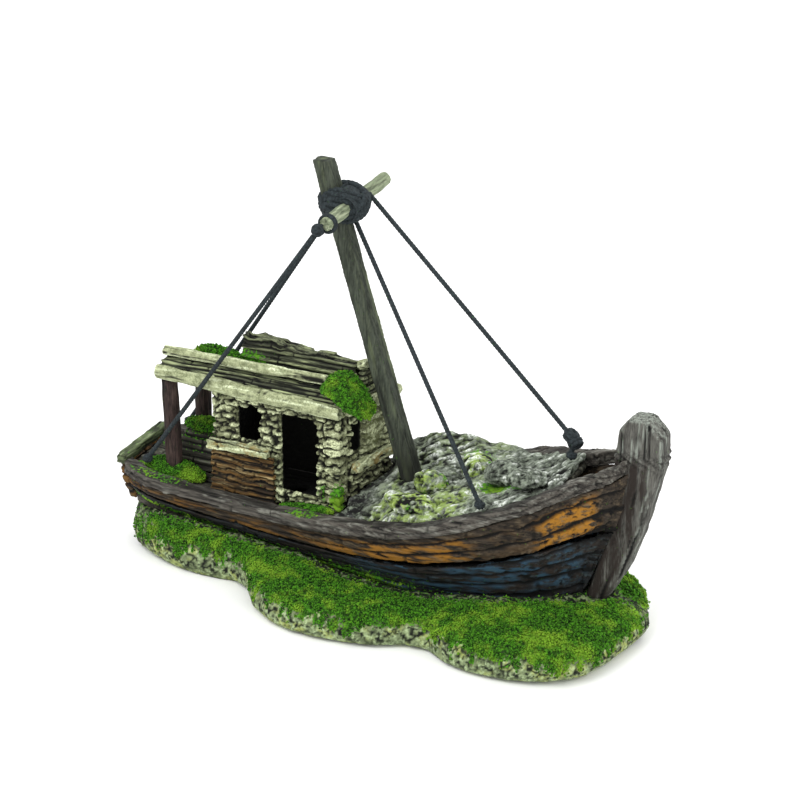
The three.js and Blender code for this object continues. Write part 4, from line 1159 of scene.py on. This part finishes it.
# ---- Roof ----
@dataclass
class Roof:
    """Log beams, roof boards and the ragged raised top."""

    voxel: float = 0.48
    eave_swell: float = 0.8       # extra radius that closes the eave on the boards above, mm
    hip_reach: float = 4.2        # run of the starboard boards over the forward hip, mm
    fraying: float = 1.7          # height of the points along the top, mm
    eave_height: float = 73.75    # middle of the starboard eave beam, mm
    hollow_depth: float = 2.2     # depth of the hollow in that beam's forward end, mm
    raised_moss: Patch = Patch((-47, -5, 84), (11, 6, 5), 0.7)
    front_moss: Patch = Patch((-1, -8, 78), (11, 13, 9), 1.4)
    pale_top: Patch = Patch((-42, 0, 94), (12, 12, 6))

    def build(self, finishes: Finishes) -> None:
        """Builds the beams first, then the boards they hold."""
        for seed, (node, grain) in enumerate((
                ("starboard_eave_beam", Grain.LENGTHWISE), ("port_eave_beam", Grain.LENGTHWISE),
                ("upper_beam", Grain.LENGTHWISE), ("front_eave_beam", Grain.ACROSS),
                ("aft_eave_beam", Grain.ACROSS), ("raised_end_beam", Grain.ACROSS))):
            self.log(node, grain, 160 + 5 * seed, finishes)
        self.slope("roof_starboard_slope", 1.35, lambda p: p[:, 2] * 1.2, finishes)
        self.slope("roof_port_slope", 1.9, lambda p: p[:, 1], finishes)
        self.slope("roof_front_slope", 1.7, lambda p: p[:, 2] * 1.3, finishes)
        self.slope("raised_starboard_boards", 1.75, lambda p: p[:, 2], finishes)
        self.slope("raised_top_boards", 1.7, lambda p: p[:, 1], finishes)
        self.slope("raised_port_boards", 1.75, lambda p: p[:, 2], finishes)
        self.slope("raised_front_board", 1.75, lambda p: p[:, 2], finishes)

    def log(self, node: str, grain: Grain, seed: int, finishes: Finishes) -> None:
        """A pale knotty log with dark pits."""
        log = Workpiece(f"{node}_log", [node], self.voxel)
        log.carve(0.55 * Noise(grain.size(3.5, 9), seed, 2).read(log.points))
        if "eave" in node:
            log.carve(self.eave_swell)
        weather_wood(log, grain, seed + 1, 0.4, 0.2)
        pit(log, 2.8, 0.6, seed + 2, 0.42)
        log.hide("seam", step(Noise(5, seed + 3).read(log.points), 0.0, 0.3) * 0.7)
        if node == "starboard_eave_beam":
            points = log.points
            out = np.hypot(points[:, 1] + PLAN.side, points[:, 2] - self.eave_height)
            hollow = step(points[:, 0], -4.2, -3.4) * (1 - step(out, 1.3, 1.9))
            log.mask("seam", hollow)
            log.points[:, 0] -= self.hollow_depth * hollow
            log.keep()
        log.finish(finishes["beam"], "pale_beam")

    def slope(self, node: str, width: float, across: Callable[[Array], Array], finishes: Finishes) -> None:
        """One field of roof boards, black in the seams and pale at the edges.

        Args:
            node: the body that it stands for.
            width: width of a board, mm.
            across: gives each point's position over the boards, mm.
            finishes: the materials by short name.
        """
        boards = Workpiece(f"{node}_planks", [node], self.voxel)
        laid = boards.points
        grain = Grain.ACROSS if "front" in node else Grain.LENGTHWISE
        along = laid[:, 1] if "front" in node else laid[:, 0]
        seam, luck = Boards(width, 27, 0.38, 200 + len(node)).read(across(laid), along, laid)
        boards.mask("seam", seam)
        boards.mask("edge", step(luck, 0.35, 0.7) * 0.9)
        boards.carve(-0.75 * seam + 0.9 * (luck - 0.45))
        weather_wood(boards, grain, 210 + len(node), 0.5, 0.28)
        if node == "roof_starboard_slope":
            boards.points[:, 0] += self.hip_reach * step(laid[:, 0], -16, -9)
            boards.keep()
        if node == "roof_port_slope":
            self.dress_port_slope(boards, laid)
        if node == "raised_starboard_boards":
            boards.mask("moss", self.raised_moss.over(laid))
        if node in ("raised_starboard_boards", "raised_top_boards", "raised_port_boards"):
            self.fray_top(boards, laid)
        if node == "roof_front_slope":
            boards.mask("moss", self.front_moss.over(laid))
        boards.finish(finishes["roof"], "roof_boards")

    @staticmethod
    def dress_port_slope(boards: Workpiece, laid: Array) -> None:
        """A strip of moss along the foot of the raised top, and painted shade that makes the underside black.
        """
        beside = 1 - step(np.abs(laid[:, 1] + 5.2), 1.0, 3.2)
        strip = beside * step(Noise((9, 4, 4), 221).read(laid), -0.1, 0.25)
        boards.mask("moss", strip * step(boards.normals[:, 2], 0.2, 0.6))
        # Painted shade: faces turned downward are made black through the seam mask.
        boards.mask("seam", 1 - step(boards.normals[:, 2], -0.6, -0.2))

    def fray_top(self, boards: Workpiece, laid: Array) -> None:
        """Breaks the upper ends of the raised boards into points and darkens them."""
        ragged = step(laid[:, 2], 87, 92) * np.clip(Noise((3.4, 30, 30), 223).read(laid), -0.5, 0.6)
        boards.points[:, 2] += self.fraying * ragged
        boards.keep()
        upper = step(laid[:, 2], 86, 90)
        boards.hide("edge", 0.6 * upper)
        boards.mask("third", 0.8 * upper * (1 - self.pale_top.over(laid)))


# ---- Moss ----
@dataclass
class MossPatches:
    """The flocked cushions lying on deck, hatch and roof."""

    voxel: float = 0.5
    roof_middle: tuple[float, float, float] = (-4.0, -9.0, 81.5)
    roof_slide: tuple[float, float, float] = (0.6, 0.8, 1.2)
    roof_spread: tuple[float, float, float] = (1.6, 1.7, 1.15)
    roof_droop: float = 0.04     # fall over the roof's edge per mm squared of reach
    crumbs: dict[str, int] = field(default_factory=lambda: {
        "moss_aft_deck": 3000, "moss_doorway": 1500, "moss_hatch": 2200, "moss_roof_front": 3600,
        "moss_roof_aft": 1500})

    def droop(self, cushion: Workpiece) -> None:
        """Spreads the forward roof cushion over the hip and lets its rim hang."""
        middle = np.array(self.roof_middle)
        away = (cushion.points - middle) * np.array(self.roof_spread)
        away[:, 2] -= self.roof_droop * np.minimum(away[:, 0] ** 2 + away[:, 1] ** 2, 110)
        cushion.points = middle + away + np.array(self.roof_slide)
        cushion.keep()

    def build(self, finishes: Finishes) -> None:
        """Breaks up each cushion and covers it with crumbs."""
        for seed, (node, count) in enumerate(self.crumbs.items()):
            cushion = Workpiece(f"{node}_cushion", [node], self.voxel)
            top = step(cushion.normals[:, 2], -0.2, 0.4)
            if node == "moss_roof_front":
                self.droop(cushion)
            if node == "moss_roof_aft":
                cushion.points[:, 2] += 2.2 * step(cushion.points[:, 2], 81.5, 84)
                cushion.points[:, 0] += 4.5 * step(cushion.points[:, 0], -64, -55)
                cushion.carve(0.4)
            points = cushion.points
            cushion.carve(top * (0.55 * Noise(3.0, 230 + seed).read(points)
                                 + 0.3 * Noise(1.0, 240 + seed).read(points)))
            cushion.mask("moss", np.ones(len(points)))
            cushion.finish(finishes["moss"], "moss")
            Tufts(count, 0.25, 0.6, 250 + seed).scatter(cushion, top, finishes["moss"])


# ---- Masts and rigging ----
@dataclass
class Rig:
    """Posts, mast, yard, lashing, knots and the four stays."""

    cord: Rope = Rope()
    twine: Rope = Rope(1.3, 3.0)
    bow_cord: Rope = Rope(1.9, 3.4)
    whipping: tuple[float, float, float] = (-6.036, -23.9, 147.7)
    bow_knot: tuple[float, float, float] = (85.0, 0.0, 74.5)
    lashing: tuple[float, float, float] = (-7.84, 0.8, 150.8)
    lashing_radii: tuple[float, float, float] = (9.2, 8.4, 7.3)
    eyes: dict[str, tuple[float, float, float]] = field(default_factory=lambda: {
        "aft_starboard": (-87.0, -15.8, 39.0), "aft_port": (-90.4, 21.8, 39.8),
        "fore_starboard": (60.0, -26.5, 54.2), "fore_port": (85.0, -1.2, 68.4)})

    def build(self, finishes: Finishes) -> None:
        """Builds the spars, then the cordage."""
        self.timbers(finishes)
        self.knots(finishes["cord"])
        self.stays(finishes["cord"])

    def timbers(self, finishes: Finishes) -> None:
        """Porch posts, mast and yard."""
        for side in ("starboard", "port"):
            post = Workpiece(f"{side}_post_timber", [f"{side}_porch_post"], 0.45)
            weather_wood(post, Grain.UPRIGHT, 261, 0.45, 0.28)
            post.finish(finishes["post"], "post_wood")
        mast = Workpiece("mast_timber", ["mast"], 0.5, 3)
        plumb = mast.points.copy()
        plumb[:, 0] -= MAST_FOOT[0] + (plumb[:, 2] - MAST_FOOT[1]) * MAST_LEAN
        mast.carve(0.35 * Noise((4, 4, 30), 271, 2).read(plumb))
        weather_wood(mast, Grain.UPRIGHT, 273, 0.28, 0.14, plumb)
        mast.hide("seam", 0.45)
        mast.mask("third", step(Noise((2.2, 2.2, 24), 277, 2).read(plumb), 0.05, 0.5) * 0.6)
        mast.mask("seam", 0.75 * (1 - step(mast.points[:, 2], 50, 68)))
        mast.finish(finishes["mast"], "mast_wood")
        yard = Workpiece("yard_timber", ["yard"], 0.42)
        yard.carve(0.3 * Noise((3, 9, 3), 281, 2).read(yard.points))
        weather_wood(yard, Grain.ACROSS, 283, 0.3, 0.18)
        yard.hide("seam", 0.5)
        yard.finish(finishes["yard"], "yard_wood")

    def knots(self, material: bpy.types.Material) -> None:
        """The mast lashing, the whipping under the yard and the knots at the stays' feet."""
        core = Workpiece("lashing_core", ["mast_lashing"], 0.7)
        core.carve(-1.9)
        core.finish(material, "cord")
        big = np.array(self.lashing_radii)
        turns = []
        for pole, scale in (((0, 0.75, 1), 0.86), ((0.1, -0.75, 1), 0.95), ((0.25, 0.1, 1), 0.8)):
            turns += wind(self.lashing, big * scale, [pole], (-0.48, -0.2, 0.08, 0.36))
        settle(Rope(2.5, 5.0).build("lashing_turns", turns, True), material)
        small = wind(self.whipping, (1.7, 1.8, 1.9), ((0, 1, 0.5), (0.2, -0.6, 1)), (-0.5, 0.0, 0.5))
        near = np.array(self.whipping) + (1.5, 4.7, 1.1)
        for turn in range(2):
            small.append(wrap(near + (0, 1.1 * turn, 0.08 * turn), (3.1, 0.6, 3.1), (0, 1, 0.07), 0.0))
        small.append(wrap(near + (-1.0, -2.4, -1.4), (1.0, 2.2, 1.4), (1, 0.2, 0.2), 0.0))
        settle(self.twine.build("whipping_turns", small, True), material, ["yard_whipping"])
        knot = np.array(self.bow_knot)
        bow = wind(knot + (-1.0, 0.3, 0.8), (2.3, 2.0, 2.2), [(0.7, 0.2, 1)], (-0.6, 0.0, 0.6))
        bow += wind(knot + (0.9, -0.3, -1.2), (2.2, 2.0, 1.9), [(-0.8, 0.5, 0.5)], (-0.6, 0.0, 0.6))
        settle(self.bow_cord.build("bow_knot_turns", bow, True), material, ["bow_knot"])
        foot = np.array(self.eyes["fore_port"])
        tail = np.array([knot + (0.3, 0, -1.8), foot + (0.5, 0.4, 3.0), foot + (-0.3, 0.1, 1.4),
                         foot + (0.2, 0, -0.3)])
        settle(self.bow_cord.build("bow_lanyard_cord", [tail]), material, ["bow_lanyard"])
        for name, eye in self.eyes.items():
            lump = wind(eye, (1.5, 1.5, 1.2), ((0, 0.4, 1), (0.9, 0.3, 0.4)), (-0.4, 0.3))
            settle(self.twine.build(f"{name}_eye_knot", lump, True), material)

    def stays(self, material: bpy.types.Material) -> None:
        """The four tight stays, each one straight run of cord."""
        ends = {
            "aft_starboard_stay": (self.whipping, self.eyes["aft_starboard"], 2.9, 0.0),
            "aft_port_stay": ((-12.4, 12.2, 152.0), self.eyes["aft_port"], 0.0, 0.0),
            "fore_starboard_stay": ((-3.5, 3.0, 141.5), self.eyes["fore_starboard"], -2.6, 0.0),
            "fore_port_stay": ((1.0, 8.0, 150.5), self.bow_knot, -3.6, 3.5),
        }
        for name, (top, foot, clear_top, clear_foot) in ends.items():
            start, end = np.array(top, float), np.array(foot, float)
            along = (end - start) / np.linalg.norm(end - start)
            route = np.linspace(start + along * clear_top, end - along * clear_foot, 24)
            stay = self.cord.build(f"{name}_cord", [route])
            settle(stay, material, [name])


# ---- Plain fittings ----
@dataclass
class PlainFittings:
    """The inlet, the tube, the stone and the keel board, which keep the frame's own shapes."""

    def build(self, finishes: Finishes) -> None:
        """Puts the finishes on the carried-over bodies."""
        for node, finish in (
                ("air_inlet_barb", "plastic"), ("air_tube", "plastic"),
                ("air_stone", "air_stone"), ("keel_board", "timber")):
            body = bpy.data.objects[node]
            body.data.materials.clear()
            body.data.materials.append(finishes[finish])


# ---- Studio ----
@dataclass
class Studio:
    """Camera, floor and soft light."""

    camera_at: tuple[float, float, float] = (376.8, -741.5, 426.9)
    azimuth: float = 26.0
    elevation: float = 23.0
    lens: float = 108.0

    def build(self) -> None:
        """Sets up the camera, the floor and the lights."""
        scene = bpy.context.scene
        camera = bpy.data.cameras.new("camera")
        camera.lens, camera.sensor_width = self.lens, 36.0
        camera.clip_start, camera.clip_end = 0.01, 20.0
        stand = bpy.data.objects.new("camera", camera)
        stand.location = (np.array(self.camera_at) + SHIFT) * MM
        stand.rotation_euler = Euler((math.radians(90 - self.elevation), 0, math.radians(self.azimuth)))
        scene.collection.objects.link(stand)
        scene.camera = stand
        scene.view_settings.view_transform = "Standard"
        floor = bpy.data.meshes.new("floor")
        floor.from_pydata([(-6, -6, 0), (6, -6, 0), (6, 6, 0), (-6, 6, 0)], [], [(0, 1, 2, 3)])
        plane = bpy.data.objects.new("floor", floor)
        scene.collection.objects.link(plane)
        paper = bpy.data.materials.new("paper")
        paper.use_nodes = True
        shader = paper.node_tree.nodes["Principled BSDF"]
        shader.inputs["Base Color"].default_value = (0.93, 0.93, 0.93, 1)
        shader.inputs["Roughness"].default_value = 0.9
        floor.materials.append(paper)
        world = bpy.data.worlds.new("studio")
        world.use_nodes = True
        world.node_tree.nodes["Background"].inputs[0].default_value = (1, 1, 1, 1)
        world.node_tree.nodes["Background"].inputs[1].default_value = 1.0
        scene.world = world
        for name, place, size, power in (
                ("key", (-0.35, -0.75, 1.15), 0.8, 9.0),
                ("fill", (0.9, -0.5, 0.7), 0.9, 4.0),
                ("back", (0.1, 0.9, 0.9), 0.8, 4.0)):
            lamp = bpy.data.lights.new(name, "AREA")
            lamp.size, lamp.energy = size, power
            holder = bpy.data.objects.new(name, lamp)
            holder.location = place
            toward = Vector((0, 0, 0.06)) - Vector(place)
            holder.rotation_euler = toward.to_track_quat("-Z", "Y").to_euler()
            scene.collection.objects.link(holder)


def all_finishes(effects: Effects) -> Finishes:
    """Mixes every finish of the ornament.

    Args:
        effects: the shared node groups.

    Returns:
        The materials by short name.
    """
    recipes = {
        # The rock's third colour, 0c140a, is painted shadow under the hull.
        "rock": Finish("rock", "414b31", "84926a", "9ba65c", "0c140a", wash="11150d", brush="b3c796",
                       tone_size=6, grit_size=1.0, brushing=0.8),
        "moss": Finish("moss", "234a0c", "4c861c", wash="16300a", tone_size=3, roughness=0.95),
        "timber": Finish("driftwood", "211e1c", "59554e", wash="0a0908", brush="83837a",
                         grain=Grain.LENGTHWISE, tone_size=2.2, brushing=0.8),
        "stern": Finish("stern rail wood", "363d2c", "66744f", brush="8d9a74", grain=Grain.ACROSS,
                        tone_size=2.2),
        "stem": Finish("stem wood", "2e2d2a", "62615b", "29231f", brush="939a90", grain=Grain.UPRIGHT,
                       tone_size=2.2, brushing=0.8),
        "upper": Finish("ochre planks", "17130f", "3d352c", "9a6a20", "b7b04c", wash="070605", brush="6b5d48",
                        grain=Grain.LENGTHWISE, tone_size=2.6, brushing=0.6),
        "lower": Finish("blue planks", "13110f", "2f2823", "a9b24e", "2b4658", wash="060707", brush="3f5157",
                        grain=Grain.LENGTHWISE, tone_size=2.6, brushing=0.5),
        "deck": Finish("deck boards", "1f1e19", "4f4e43", brush="77786a", grain=Grain.LENGTHWISE,
                       tone_size=2.5),
        # The rubble's third colour, 141314, is painted shade by the cabin, and dark patches of the heap
        # forward.
        "rubble": Finish("rubble", "2f352c", "8b9484", "8fa84a", "141314", wash="090a08", brush="e9efe6",
                         tone_size=5, grit_size=1.0),
        "stone": Finish("cabin stone", "4b4e36", "8f9470", "6d6c3c", "59603a", wash="080804", brush="d3dbb0",
                        tone_size=2.6, grit_size=0.8),
        "cladding": Finish("cladding", "2b1f0d", "6e5126", third="2c241b", brush="a8966a", wash="050302",
                           grain=Grain.LENGTHWISE, tone_size=2.0, grit_size=0.7, brushing=0.8),
        "beam": Finish("pale logs", "6e7454", "b3ba92", "86703a", wash="12130c", brush="e4eec6",
                       tone_size=2.6, grit_size=0.8),
        "roof": Finish("roof boards", "23261e", "575c48", third="161612", wash="090a07", brush="aab486",
                       grain=Grain.LENGTHWISE, tone_size=2.2, grit_size=0.8),
        "post": Finish("post wood", "171211", "40322e", brush="5e4e47", grain=Grain.UPRIGHT, tone_size=1.8,
                       brushing=0.5),
        "mast": Finish("mast wood", "22261f", "454b40", third="6b7555", brush="5a614c", grain=Grain.UPRIGHT,
                       turn=math.atan(MAST_LEAN), tone_size=2.4, brushing=0.4),
        "yard": Finish("yard wood", "5a634e", "8f9a7c", brush="c3ccaa", grain=Grain.ACROSS, tone_size=2.2,
                       brushing=0.6),
        "cord": Finish("slate cord", "14181a", "323b3e", brush="4a5557", tone_size=1.0, grit_size=0.35,
                       bump=0.1),
        "plastic": Finish("milky plastic", "c3c8c4", "dfe3df", wash="9aa19b", tone_size=6, roughness=0.35,
                          bump=0.02),
        "air_stone": Finish("air stone", "5b6a90", "8b9abf", wash="2c3550", tone_size=1.2, grit_size=0.5,
                            bump=0.3),
    }
    return {name: recipe.build(effects) for name, recipe in recipes.items()}


def main() -> None:
    """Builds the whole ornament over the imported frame."""
    logging.basicConfig(level=logging.INFO, format="%(name)s: %(message)s")
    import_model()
    finishes = all_finishes(Effects())
    Studio().build()
    Rig().build(finishes)
    for assembly in (RockBase(), Hull(), Decks(), Cabin(), Roof(), MossPatches(), PlainFittings()):
        LOG.info("building %s", type(assembly).__name__)
        assembly.build(finishes)


if __name__ == "__main__":
    main()
